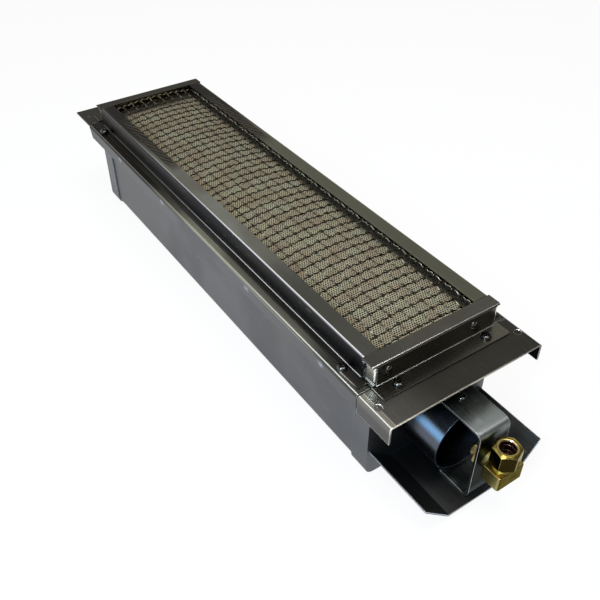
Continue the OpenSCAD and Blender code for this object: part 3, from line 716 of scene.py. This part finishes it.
@dataclass(frozen=True)
class FibreFinish(Finish):
    """Felted ceramic fibre strip."""

    colour: Colour = rgb(222, 219, 208)
    shade: Colour = rgb(186, 180, 164)
    stretch: Point = (900.0, 300.0, 900.0)
    depth: float = 0.15 * MM

    def paint(self, coat: Coat) -> None:
        """Paint short streaks of fibre."""
        streak = coat.effect("grain", stretch=self.stretch)["Streak"]
        tone = coat.mix(coat.step(streak, *STREAK_RANGE), self.shade, self.colour)
        coat.fill("Base Color", tone)
        coat.fill("Roughness", 0.95)
        coat.fill("Normal", bump(coat, streak, self.depth))


@dataclass(frozen=True)
class WireFinish(Finish):
    """Drawn heat-resistant wire, a little browned."""

    colour: Colour
    brown: Colour
    # Painted shade where the other wires cross.
    crossing_shade: Colour | None = None
    knot_pitch: float = 8.65 * MM
    knot_first: float = 0.0
    knot_half: float = 2.2 * MM
    zones: tuple[Zone, ...] = ()
    stain_size: float = 90.0
    roughness: tuple[float, float] = (0.36, 0.46)
    depth: float = 0.01 * MM

    def paint(self, coat: Coat) -> None:
        """Paint browned wire with painted shade where other wires cross it."""
        stain = coat.effect("stain", size=self.stain_size)
        tone = coat.mix(stain["Cloud"], self.colour, self.brown)
        for zone in self.zones:
            tone = zone.lay(coat, tone)
        if self.crossing_shade is not None:
            along = coat.minus(coat.parts["Y"], self.knot_first)
            turns = coat.math("ADD", coat.math("DIVIDE", along, self.knot_pitch), 50.5)
            away = coat.math("ABSOLUTE", coat.minus(coat.math("FRACT", turns), 0.5))
            half = self.knot_half / self.knot_pitch
            tone = coat.mix(coat.rest(coat.step(away, half * 0.6, half)), tone, self.crossing_shade)
        coat.fill("Base Color", tone)
        coat.fill("Metallic", 1.0)
        coat.fill("Roughness", coat.ranged(stain["Patch"], *self.roughness))
        coat.fill("Normal", bump(coat, coat.noise(coat.place, 3000.0), self.depth))


def tube_mesh(
    name: str, paths: Iterable[list[Vector]], radius: float, sides: int = 8,
) -> bpy.types.Object:
    """Sweep round wires along paths.

    Args:
        name: The object's name.
        paths: Each wire's middle line.
        radius: The wires' radius.
        sides: Number of sides round a wire.

    Returns:
        One object with all the wires, linked to the scene.
    """
    mesh = bpy.data.meshes.new(name)
    shape = bmesh.new()
    turns = [math.tau * step / sides for step in range(sides)]
    for path in paths:
        rings = []
        side = Vector((0, 0, 1)).cross(path[1] - path[0]).normalized()
        for index, point in enumerate(path):
            ahead = path[min(index + 1, len(path) - 1)] - path[max(index - 1, 0)]
            up = ahead.normalized().cross(side).normalized() * -1.0
            rings.append([
                shape.verts.new(point + radius * (math.cos(turn) * side + math.sin(turn) * up))
                for turn in turns])
        for first, second in zip(rings, rings[1:]):
            for step in range(sides):
                after = (step + 1) % sides
                face = shape.faces.new((first[step], first[after], second[after], second[step]))
                face.smooth = True
        shape.faces.new(list(reversed(rings[0])))
        shape.faces.new(rings[-1])
    bmesh.ops.recalc_face_normals(shape, faces=shape.faces)
    shape.to_mesh(mesh)
    shape.free()
    return new_object(name, mesh)


@dataclass
class WireScreen:
    """Arched screen of crimped wires, woven over and under."""

    pitch: float = 8.65 * MM
    wire: float = 1.0 * MM
    gap: float = 0.04 * MM
    samples: int = 16
    half_waves: int = 3
    body: str = "burner_body"
    # Painted highlight on the wires over the dark band along the sides.
    side_highlight: Zone = Zone(X, 0.0372, 0.0382, rgb(244, 240, 226), 0.95, middle=0.0)
    # Painted light at the far end, where the wires cross the dark band: they take a mid tone there.
    far: Zone = Zone(Y, 0.2030, 0.2060, rgb(120, 114, 96), 0.6)

    @property
    def lift(self) -> float:
        """Height of a crimp above the screen's middle surface."""
        return (self.wire + self.gap) / 2

    @property
    def first_y(self) -> float:
        """Place of the first cross wire."""
        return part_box("screen_cross_wires")[0].y + self.wire / 2

    def arch(self) -> Callable[[float], float]:
        """Work out the screen's middle surface from the plain cross wires.

        Returns:
            The middle surface's height at a distance from the centre line.
        """
        low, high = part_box("screen_cross_wires")
        half = high.x
        crown = high.z - self.wire / 2
        rise = crown - (low.z + self.wire / 2)
        radius = (half * half + rise * rise) / (2 * rise)
        top = crown + self.lift - self.gap
        return lambda x: top - radius + math.sqrt(radius * radius - x * x)

    def crimp(self, distance: float, number: int) -> float:
        """Give the height of one wire's crimp at a distance from its first crossing."""
        turn = math.pi * self.half_waves / self.pitch
        return self.lift * math.cos(turn * distance + math.pi * number)

    def stations(self, start: float, end: float) -> list[float]:
        """Give evenly spaced stations from start to end."""
        count = max(2, round((end - start) / self.pitch * self.samples))
        return [start + (end - start) * step / count for step in range(count + 1)]

    def weave(self) -> tuple[list[list[Vector]], list[list[Vector]]]:
        """Lay out the wires.

        Returns:
            The middle lines of the long wires and of the cross wires.
        """
        height = self.arch()
        long_low, long_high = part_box("screen_long_wires")
        cross_low, cross_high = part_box("screen_cross_wires")
        width = long_high.x - long_low.x - self.wire
        length = cross_high.y - cross_low.y - self.wire
        first_x, first_y = -width / 2, self.first_y
        long_paths = []
        for number in range(round(width / self.pitch) + 1):
            x = first_x + number * self.pitch
            long_paths.append([
                Vector((x, y, height(x) + self.crimp(y - first_y, number)))
                for y in self.stations(long_low.y, long_high.y)])
        cross_paths = []
        for number in range(round(length / self.pitch) + 1):
            y = first_y + number * self.pitch
            cross_paths.append([
                Vector((x, y, height(x) - self.crimp(x - first_x, number)))
                for x in self.stations(-cross_high.x, cross_high.x)])
        return long_paths, cross_paths

    def build(self, effects: Effects) -> None:
        """Weave the screen in place of the two plain wire nodes.

        Args:
            effects: The shared effects.
        """
        long_paths, cross_paths = self.weave()
        # The cross wires get a darker copy of the wire colour as painted shade, the long wires a
        # lighter one as painted light.
        long = WireFinish(
            "long wire", rgb(138, 134, 120), rgb(98, 90, 74), crossing_shade=rgb(52, 45, 34),
            knot_first=self.first_y,
            zones=(replace(self.side_highlight, colour=rgb(190, 186, 172), share=0.7), self.far))
        cross = WireFinish(
            "cross wire", rgb(66, 59, 46), rgb(46, 40, 31), zones=(self.side_highlight, self.far))
        for name, paths, finish in (
            ("long_wires", long_paths, long), ("cross_wires", cross_paths, cross),
        ):
            piece = tube_mesh(f"woven_{name}", paths, self.wire / 2)
            piece.data.materials.append(finish.build(effects))
            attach(piece, self.body)
            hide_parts(f"screen_{name}")
            LOG.info("woven %s: %d wires", name, len(paths))


@dataclass
class Dressing:
    """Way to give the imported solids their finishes."""

    effects: Effects
    nodes: dict[str, bpy.types.Object]

    def dress(self, finish: Finish, names: Iterable[str]) -> None:
        """Build a finish and give it to several solids.

        Args:
            finish: The finish.
            names: The names of the solids that wear it.
        """
        material = finish.build(self.effects)
        for name in names:
            slots = self.nodes[name].data.materials
            slots.clear()
            slots.append(material)
            LOG.info("%s wears %s", name, material.name)


@dataclass
class SteelBody:
    """Trough, caps, plates, frame, tube, bracket and tray."""

    weld_places: tuple[float, ...] = (-0.1403, -0.0539, 0.0737, 0.1533)
    weld_height: float = 0.0762
    # Darker towards the bottom.
    sunk: Zone = Zone(Z, 0.040, 0.0, rgb(86, 88, 92), 0.6)
    # Where the painted edge and bend highlights fade out toward the far end.
    far_dim: Zone = Zone(Y, -0.06, 0.10, share=0.9)
    foot: Zone = Zone(Z, 0.0830, 0.0815)
    lip: Zone = Zone(Z, 0.0958, 0.0964)

    def dress(self, dressing: Dressing) -> None:
        """Finish the sheet-metal pieces.

        Args:
            dressing: The way to dress them.
        """
        worn = (
            (self.trough(), ("burner_trough",)),
            (self.caps(), ("front_end_cap", "rear_end_cap")),
            (self.plates(), ("front_plate", "rear_plate")),
            (self.rails(), ("left_screen_rail", "right_screen_rail")),
            (self.bars(), ("front_screen_bar", "rear_screen_bar")),
            (self.tube(), ("mixing_tube",)),
            (self.strap(), ("orifice_bracket",)),
            (self.tray(), ("air_tray",)),
            (self.inside(), (
                "left_plaque_ledge", "right_plaque_ledge", "front_plaque_ledge",
                "rear_plaque_ledge", "baffle_plate", "tube_saddle", "screen_clips")),
        )
        for finish, names in worn:
            dressing.dress(finish, names)

    def trough(self) -> SheetFinish:
        """Grey mill sheet, darker along the far flange, with painted light on the flange's bends, a
        painted shadow where the flange runs under the rails, and weld spots under the flange.
        """
        flange = Zone(Z, 0.0775, 0.0788)
        below = Zone(Z, 0.0775, 0.0770)
        slit = Zone(Z, 0.0480, 0.0470, within=Zone(Z, 0.0260, 0.0270))
        far_wall = Zone(Y, 0.04, 0.2, rgb(86, 87, 89), 0.7, within=below)
        top = Zone(Z, 0.0788, 0.0800, rgb(160, 159, 144), 0.95)
        middle = Zone(Y, 0.0, -0.08, rgb(134, 134, 124), 0.7, within=flange)
        front = Zone(Y, -0.11, -0.15, rgb(66, 66, 64), 0.85, within=flange)
        seam = Zone(
            Y, 0.0006, 0.0003, rgb(58, 60, 64), 0.85, middle=-0.1643, within=slit)
        brown = Zone(Y, 0.02, 0.06, rgb(76, 74, 62), 0.6, ragged=0.02, within=flange)
        # Darker toward the far end of the flange.
        far_darkening = Zone(Y, 0.05, 0.11, rgb(36, 33, 27), 0.95, ragged=0.02, within=flange)
        # Painted shadow on the flange where it runs under the rails' feet.
        under_rail = Zone(
            X, 0.0504, 0.0499, rgb(20, 19, 18), middle=0.0, within=flange)
        return SheetFinish(
            "trough sheet", rgb(104, 106, 110), rgb(97, 99, 104), rgb(100, 100, 98),
            rgb(230, 230, 224), roughness=0.42, rough_spread=0.1, grain_depth=0.002 * MM,
            stain_share=0.5, scratches=0.25, edge_radius=0.5 * MM, edge_gaps=0.1,
            edge_zone=flange, welds=WeldMarks(self.weld_places, self.weld_height),
            crest_highlight_share=0.85, skirt_share=0.85, skirt_light=rgb(66, 66, 66),
            dims=(Zone(Y, -0.13, -0.02, share=0.8),),
            marks=(self.sunk, far_wall, top, middle, front, seam, brown, far_darkening, under_rail))

    def caps(self) -> SheetFinish:
        """Pressed caps with painted shade in a line under the flange and a matt rim at the back."""
        # Painted shade on the cap's top, in the gap under the flange.
        gap = Zone(Z, 0.0780, 0.0785, rgb(20, 19, 18), 0.95)
        rim = Zone(
            Y, 0.2067, 0.2064, rgb(116, 118, 121), within=Zone(Y, 0.1, 0.11))
        return SheetFinish(
            "cap sheet", rgb(104, 106, 110), rgb(97, 99, 103), rgb(92, 94, 98),
            rgb(170, 172, 176), roughness=0.4, grain_axis=X, stain_share=0.5,
            edge_share=0.25, marks=(self.sunk, gap, rim), matt=rim)

    def plates(self) -> SheetFinish:
        """Satin plates that darken to the right and at the rear, with painted highlights on bends,
        the crease and the left of the front edge, and painted shade below the top.
        """
        ahead = Zone(Y, -0.1770, -0.1775, within=Zone(Z, 0.0800, 0.0805))
        right = Zone(X, -0.055, -0.015, rgb(72, 70, 64), 0.85)
        rear = Zone(Y, 0.15, 0.205, rgb(62, 58, 50), 0.85)
        # Painted highlights on the bend, the crease and the front edge.
        bend = Zone(X, -0.0554, -0.0560, rgb(184, 180, 170), 0.9, within=ahead)
        crease = Zone(
            X, 0.0004, 0.0001, rgb(225, 222, 210), 0.9, middle=-0.0557, within=ahead)
        front_edge = Zone(
            Y, -0.2054, -0.2059, rgb(240, 232, 214), 0.9,
            within=Zone(X, 0.05, -0.03))
        # Painted shade on the faces below the top.
        drop = Zone(Z, 0.0802, 0.0740, rgb(80, 79, 79), 0.9)
        return SheetFinish(
            "plate sheet", rgb(130, 130, 126), rgb(118, 118, 114), rgb(104, 102, 98),
            rgb(244, 242, 234), grain_axis=X, grain_depth=0.0015 * MM,
            stain_share=0.5, edge_share=0.9, edge_gaps=0.1, edge_radius=0.5 * MM,
            crest_highlight_share=0.9, dims=(self.far_dim,),
            marks=(right, rear, bend, crease, front_edge, drop))

    def rails(self) -> SheetFinish:
        """Bright rails with painted shade on their upright faces, dark feet, darker toward the far
        end, painted highlights on bends and a painted reflection of the wires inside.
        """
        foot_edge = -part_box("left_screen_rail")[0].x
        pad = replace(self.foot, colour=rgb(56, 54, 52), share=0.85)
        # Painted highlight along the feet's edges.
        pad_line = Zone(
            X, foot_edge - 0.0009, foot_edge - 0.0006, rgb(214, 210, 198), 0.8,
            middle=0.0, within=replace(self.foot, within=Zone(Y, 0.02, -0.08)))
        near = Zone(Y, -0.04, -0.10, rgb(96, 96, 91), 0.85, within=self.lip)
        right = Zone(X, -0.02, 0.03, rgb(126, 126, 110), 0.9, within=self.lip)
        inner = Zone(
            Y, 0.072, 0.094, rgb(46, 41, 36), 0.9, ragged=0.012,
            within=Zone(X, 0.0464, 0.0446, middle=0.0))
        far_darkening = Zone(Y, 0.085, 0.16, rgb(34, 31, 26), 0.92, ragged=0.02)
        # Painted reflection of the screen's wires in the lips.
        stripes = WireReflection(0.0085, (0.080, 0.168), 0.0440, rgb(128, 120, 108))
        # Painted highlights on edges and bends; painted shade on the upright faces.
        return SheetFinish(
            "rail sheet", rgb(158, 160, 152), rgb(150, 152, 145), rgb(132, 130, 118),
            rgb(240, 240, 238), roughness=0.34, edge_share=0.95,
            edge_gaps=0.05, edge_radius=0.5 * MM, grain_depth=0.002 * MM, crest_highlight_share=0.95,
            edge_zone=Zone(
                Z, 0.0900, 0.0890, within=Zone(X, 0.0500, 0.0495, middle=0.0)),
            skirt_share=0.8, upright_shade=rgb(30, 31, 36),
            dims=(self.far_dim, Zone(X, 0.0, 0.03, share=0.9)),
            marks=(pad, pad_line, near, right, inner, far_darkening, stripes))

    def bars(self) -> SheetFinish:
        """Satin bars with dark feet, painted shade on their upright faces, painted highlights on
        the bends and the tab ends, darker at the rear.
        """
        pad = replace(self.foot, colour=rgb(78, 78, 73), share=0.9)
        tab_height = Zone(Z, 0.0822, 0.0828, within=Zone(Z, 0.0958, 0.0954))
        # Painted highlight on the tab ends.
        tab_highlight = Zone(
            X, 0.0462, 0.0466, rgb(250, 246, 236), 0.95, middle=0.0, within=tab_height)
        right = Zone(X, -0.01, 0.04, rgb(140, 138, 126), 0.7, within=self.foot)
        left = Zone(X, -0.015, -0.045, rgb(96, 96, 91), 0.7, within=self.lip)
        rear = Zone(Y, 0.1, 0.2, rgb(68, 63, 52), 0.85)
        return SheetFinish(
            "bar sheet", rgb(122, 121, 113), rgb(116, 115, 108), rgb(104, 102, 94),
            rgb(240, 240, 236), roughness=0.28, grain_axis=X,
            edge_share=0.95, edge_gaps=0.05, edge_radius=0.5 * MM, grain_depth=0.0015 * MM,
            crest_highlight_share=0.9, upright_shade=rgb(96, 94, 84), edge_zone=Zone(Z, 0.0905, 0.0900),
            dims=(Zone(Y, -0.1868, -0.1874, share=0.9, within=self.foot),
                  Zone(Y, 0.0, 0.1, share=0.7)),
            marks=(pad, tab_highlight, right, left, rear))

    def tube(self) -> SheetFinish:
        """Turned dark tube, darker along its top, with a painted highlight as a blue streak along
        its upper side.
        """
        top = Zone(Z, 0.0555, 0.0590, rgb(46, 54, 66), 0.85)
        # Painted highlight: a blue streak of reflected light.
        streak = Zone(Z, 0.0042, 0.0006, rgb(112, 152, 192), 0.95, middle=0.0510)
        return SheetFinish(
            "tube sheet", rgb(100, 106, 116), rgb(86, 92, 104), rgb(70, 74, 80),
            rgb(120, 140, 166), roughness=0.26, grain_fine=2600.0, grain_depth=0.008 * MM,
            around=True, stain_share=0.4, edge_share=0.15, marks=(top, streak))

    def strap(self) -> SheetFinish:
        """Zinc-plated strap with painted highlights on its bends and the front of its top leg,
        painted shade on its web and a painted reflection low on the web.
        """
        web = Zone(Y, -0.2290, -0.2300)
        # Painted highlight near the front bend of the top leg.
        pale = Zone(
            Y, -0.2125, -0.2235, rgb(192, 202, 202), 0.8, ragged=0.012,
            within=Zone(Z, 0.0630, 0.0636))
        # Painted shade on the web.
        dark = Zone(Z, 0.0610, 0.0545, rgb(26, 25, 15), within=web)
        # Painted reflection low on the web.
        low = Zone(Z, 0.0200, 0.0080, rgb(104, 114, 118), 0.9, within=web)
        return SheetFinish(
            "zinc strap", rgb(132, 138, 136), rgb(104, 110, 108), rgb(84, 88, 86),
            rgb(236, 240, 242), stain_share=0.8, stain_size=110.0,
            edge_gaps=0.1, edge_radius=0.5 * MM, crest_highlight_share=0.8,
            glance=rgb(198, 200, 200), marks=(pale, dark, low))

    def tray(self) -> SheetFinish:
        """Dark tray with painted highlights on its rims."""
        return SheetFinish(
            "tray sheet", rgb(100, 103, 105), rgb(88, 90, 91), rgb(70, 68, 62),
            rgb(228, 238, 252), roughness=0.34, stain_share=0.5, edge_radius=0.7 * MM,
            edge_gaps=0.0, edge_share=1.0)

    def inside(self) -> SheetFinish:
        """Plain sheet of the pieces inside."""
        return SheetFinish(
            "inside sheet", rgb(120, 122, 128), rgb(104, 106, 112), rgb(92, 92, 96),
            rgb(190, 192, 196), roughness=0.45)


@dataclass
class Fastenings:
    """Screws and rivets."""

    names: tuple[str, ...] = ("bar_screws", "rail_screws", "bar_rivets", "tube_screw")

    def dress(self, dressing: Dressing) -> None:
        """Finish the fasteners.

        Args:
            dressing: The way to dress them.
        """
        plated = SheetFinish(
            "plated steel", rgb(84, 84, 82), rgb(70, 70, 68), rgb(60, 57, 54),
            rgb(214, 214, 210), roughness=0.08, rough_spread=0.05, grain_axis=Z,
            stain_size=200.0, edge_radius=0.2 * MM, edge_share=0.3)
        dressing.dress(plated, self.names)


@dataclass
class GasFitting:
    """Elbow, locknut, spud, ferrule and compression nut."""

    inlet: tuple[float, float] = (0.0, -0.2407)
    bore_radius: float = 5.1 * MM
    ring_radius: float = 6.2 * MM
    nut_chamfer: float = 0.0575
    # Pieces behind the web, given brass in painted shade.
    dull: tuple[str, ...] = ("spud_locknut", "orifice_spud")

    def dress(self, dressing: Dressing) -> None:
        """Finish the brass pieces.

        Args:
            dressing: The way to dress them.
        """
        # Painted shade inside the bore, and a painted highlight on the ring round it.
        bore = Bore(self.inlet, self.bore_radius)
        ring = Bore(self.inlet, self.ring_radius, rgb(220, 202, 128))
        # Painted shade on the elbow's front face.
        front = Zone(Y, -0.2470, -0.2475, rgb(40, 34, 17), 0.95)
        # Painted shade on the elbow's upright faces.
        forged = BrassFinish(
            "forged brass", rgb(190, 170, 92), rgb(150, 130, 66), roughness=0.28,
            upright_shade=rgb(150, 140, 92), bores=(bore,), zones=(front,))
        dressing.dress(forged, ("brass_elbow",))
        # Painted highlight on the nut's right flat; its other upright faces get painted shade.
        right = Zone(
            X, 0.0044, 0.0056, rgb(150, 132, 66), 0.9,
            within=Zone(Z, self.nut_chamfer, self.nut_chamfer - 0.3 * MM))
        turned = BrassFinish(
            "turned brass", rgb(150, 134, 72), rgb(124, 108, 54), upright_shade=rgb(22, 14, 8),
            bores=(ring, bore), zones=(right,))
        dressing.dress(turned, ("compression_nut",))
        dressing.dress(BrassFinish("plain brass", bores=(bore,)), ("ferrule",))
        # Brass in painted shade, for the pieces behind the web.
        shadowed = BrassFinish(
            "dulled brass", rgb(150, 134, 92), rgb(112, 98, 64), roughness=0.34)
        dressing.dress(shadowed, self.dull)


@dataclass
class RadiantFace:
    """Ceramic plaques, their cement and gasket, and the screen over them."""

    plaques: tuple[str, ...] = ("ceramic_plaque_1", "ceramic_plaque_2", "ceramic_plaque_3")
    # Painted shadow under the lips, partly sooty dirt.
    shade: Colour = rgb(44, 39, 32)
    screen: WireScreen = field(default_factory=WireScreen)

    def dress(self, dressing: Dressing) -> None:
        """Finish the plaques, the cement and the gasket.

        Args:
            dressing: The way to dress them.
        """
        # Painted shadow and sooty dirt where the lips overhang the plaques' sides and far end.
        sides = Zone(X, 0.0378, 0.0410, self.shade, 0.85, middle=0.0)
        far = Zone(Y, 0.2050, 0.2100, self.shade, 0.85)
        dressing.dress(CeramicFinish("fired ceramic", zones=(sides, far)), self.plaques)
        dressing.dress(FibreFinish("ceramic fibre"), ("plaque_gasket",))
        cement = FibreFinish("refractory cement", rgb(196, 190, 170), rgb(170, 162, 140))
        dressing.dress(cement, ("plaque_cement",))

    def build(self, dressing: Dressing) -> None:
        """Weave the screen."""
        self.screen.build(dressing.effects)


@dataclass(frozen=True)
class Glow:
    """Soft bright region of the dome that the metal mirrors."""

    towards: Point
    edge: float
    core: float
    level: float
    colour: Colour

    def light(self, graph: Graph, direction: Socket) -> Socket:
        """Build the region's light.

        Args:
            graph: The world's graph.
            direction: The direction looked in.

        Returns:
            The colour that the region adds.
        """
        aim = Vector(self.towards).normalized()
        near = graph.vector("DOT_PRODUCT", direction, tuple(aim)).outputs["Value"]
        full = tuple(part * self.level for part in self.colour)
        return graph.mix(graph.step(near, self.edge, self.core), (0.0, 0.0, 0.0), full)


@dataclass(frozen=True)
class Lamp:
    """Soft rectangular lamp."""

    name: str
    place: Point
    aim: Point
    size: tuple[float, float]
    power: float
    colour: Colour

    def hang(self) -> None:
        """Hang the lamp and turn it to its aim."""
        lamp = bpy.data.lights.new(self.name, "AREA")
        lamp.shape = "RECTANGLE"
        lamp.size, lamp.size_y = self.size
        lamp.energy = self.power
        lamp.color = self.colour
        holder = new_object(self.name, lamp)
        holder.location = self.place
        holder.rotation_mode = "QUATERNION"
        towards = Vector(self.aim) - Vector(self.place)
        holder.rotation_quaternion = towards.to_track_quat("-Z", "Y")


@dataclass
class Studio:
    """Floor, light and camera."""

    camera_place: Point = (-0.2488, -0.3970, 0.3973)
    azimuth: float = -34.17
    elevation: float = 40.37
    lens: float = 44.9
    sensor: float = 36.0
    floor_size: float = 6.0
    floor_drop: float = 0.2 * MM
    floor_tone: Colour = (0.82, 0.82, 0.82)
    floor_glow: float = 0.9
    sky: float = 0.16
    horizon: Colour = (0.75, 0.76, 0.78)
    white: Colour = (1.0, 1.0, 1.0)
    glows: tuple[Glow, ...] = (
        Glow((-0.63, 0.63, 0.41), 0.66, 0.92, 1.1, (0.97, 0.99, 1.0)),
        Glow((0.43, 0.63, 0.65), 0.7, 0.97, 0.2, (1.0, 0.97, 0.92)),
        Glow((-0.62, -0.70, 0.35), 0.86, 0.97, 0.7, (0.97, 0.99, 1.0)),
    )
    lamps: tuple[Lamp, ...] = (
        Lamp("ceiling left", (-0.45, -0.35, 1.3), (0, 0, 0), (0.4, 0.8), 8.0, (1.0, 0.98, 0.95)),
        Lamp("ceiling right", (0.15, -0.35, 1.3), (0, 0, 0), (0.4, 0.8), 8.0, (1.0, 0.98, 0.95)),
        Lamp("window", (-0.75, -0.45, 0.75), (0, -0.2, 0.03), (0.12, 0.3), 7.0, (0.55, 0.8, 1.0)),
    )

    def build(self) -> None:
        """Set the floor, the light and the camera."""
        self.floor()
        self.world()
        for lamp in self.lamps:
            lamp.hang()
        self.camera()

    def floor(self) -> None:
        """Lay the pale floor that the burner stands on."""
        mesh = bpy.data.meshes.new("floor")
        half = self.floor_size / 2
        corners = [(-half, -half, 0), (half, -half, 0), (half, half, 0), (-half, half, 0)]
        mesh.from_pydata(corners, [], [(0, 1, 2, 3)])
        plane = new_object("floor", mesh)
        plane.location.z = -self.floor_drop
        coat = Coat("pale floor")
        coat.fill("Base Color", self.floor_tone)
        coat.fill("Roughness", 0.9)
        glow = coat.add("Emission", {"Color": self.white})
        path = coat.add("LightPath").outputs
        seen = coat.math("MAXIMUM", path["Is Camera Ray"], path["Is Glossy Ray"])
        surface = coat.join(coat.times(seen, self.floor_glow), coat.shader, glow)
        coat.put(coat.found("OUTPUT_MATERIAL").inputs["Surface"], surface)
        mesh.materials.append(coat.material)

    def world(self) -> None:
        """Surround the scene with a soft grey dome that the camera sees as white."""
        world = bpy.data.worlds.new("studio")
        bpy.context.scene.world = world
        world.use_nodes = True
        graph = Graph(world.node_tree)
        world.node_tree.nodes.clear()
        direction = graph.add("TexCoord").outputs["Generated"]
        level = graph.step(graph.split(direction)["Z"], -0.05, 0.25)
        zenith = (self.sky, self.sky * 0.97, self.sky * 0.92)
        tone = graph.mix(level, self.horizon, zenith)
        for glow in self.glows:
            tone = graph.mix(1.0, tone, glow.light(graph, direction), "ADD")
        dome = graph.add("Background", {"Color": tone})
        white = graph.add("Background", {"Color": self.white})
        seen = graph.add("LightPath").outputs["Is Camera Ray"]
        graph.add("OutputWorld", {"Surface": graph.join(seen, dome, white)})

    def camera(self) -> None:
        """Place the camera as the photograph was taken."""
        lens = bpy.data.cameras.new("photo")
        lens.sensor_fit = "HORIZONTAL"
        lens.sensor_width = self.sensor
        lens.lens = self.lens
        lens.clip_start = 0.01
        eye = new_object("photo", lens)
        eye.location = self.camera_place
        eye.rotation_euler = (
            math.radians(90.0 - self.elevation), 0.0, math.radians(self.azimuth))
        bpy.context.scene.camera = eye


def main() -> None:
    """Load the solids, dress them, weave the screen and set up the studio."""
    logging.basicConfig(level=logging.INFO, format="%(name)s: %(message)s")
    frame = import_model()
    bpy.context.scene.view_settings.view_transform = "Standard"
    Studio().build()
    dressing = Dressing(Effects(), frame["nodes"])
    face = RadiantFace()
    for piece in (SteelBody(), Fastenings(), GasFitting(), face):
        piece.dress(dressing)
    face.build(dressing)


if __name__ == "__main__":
    main()
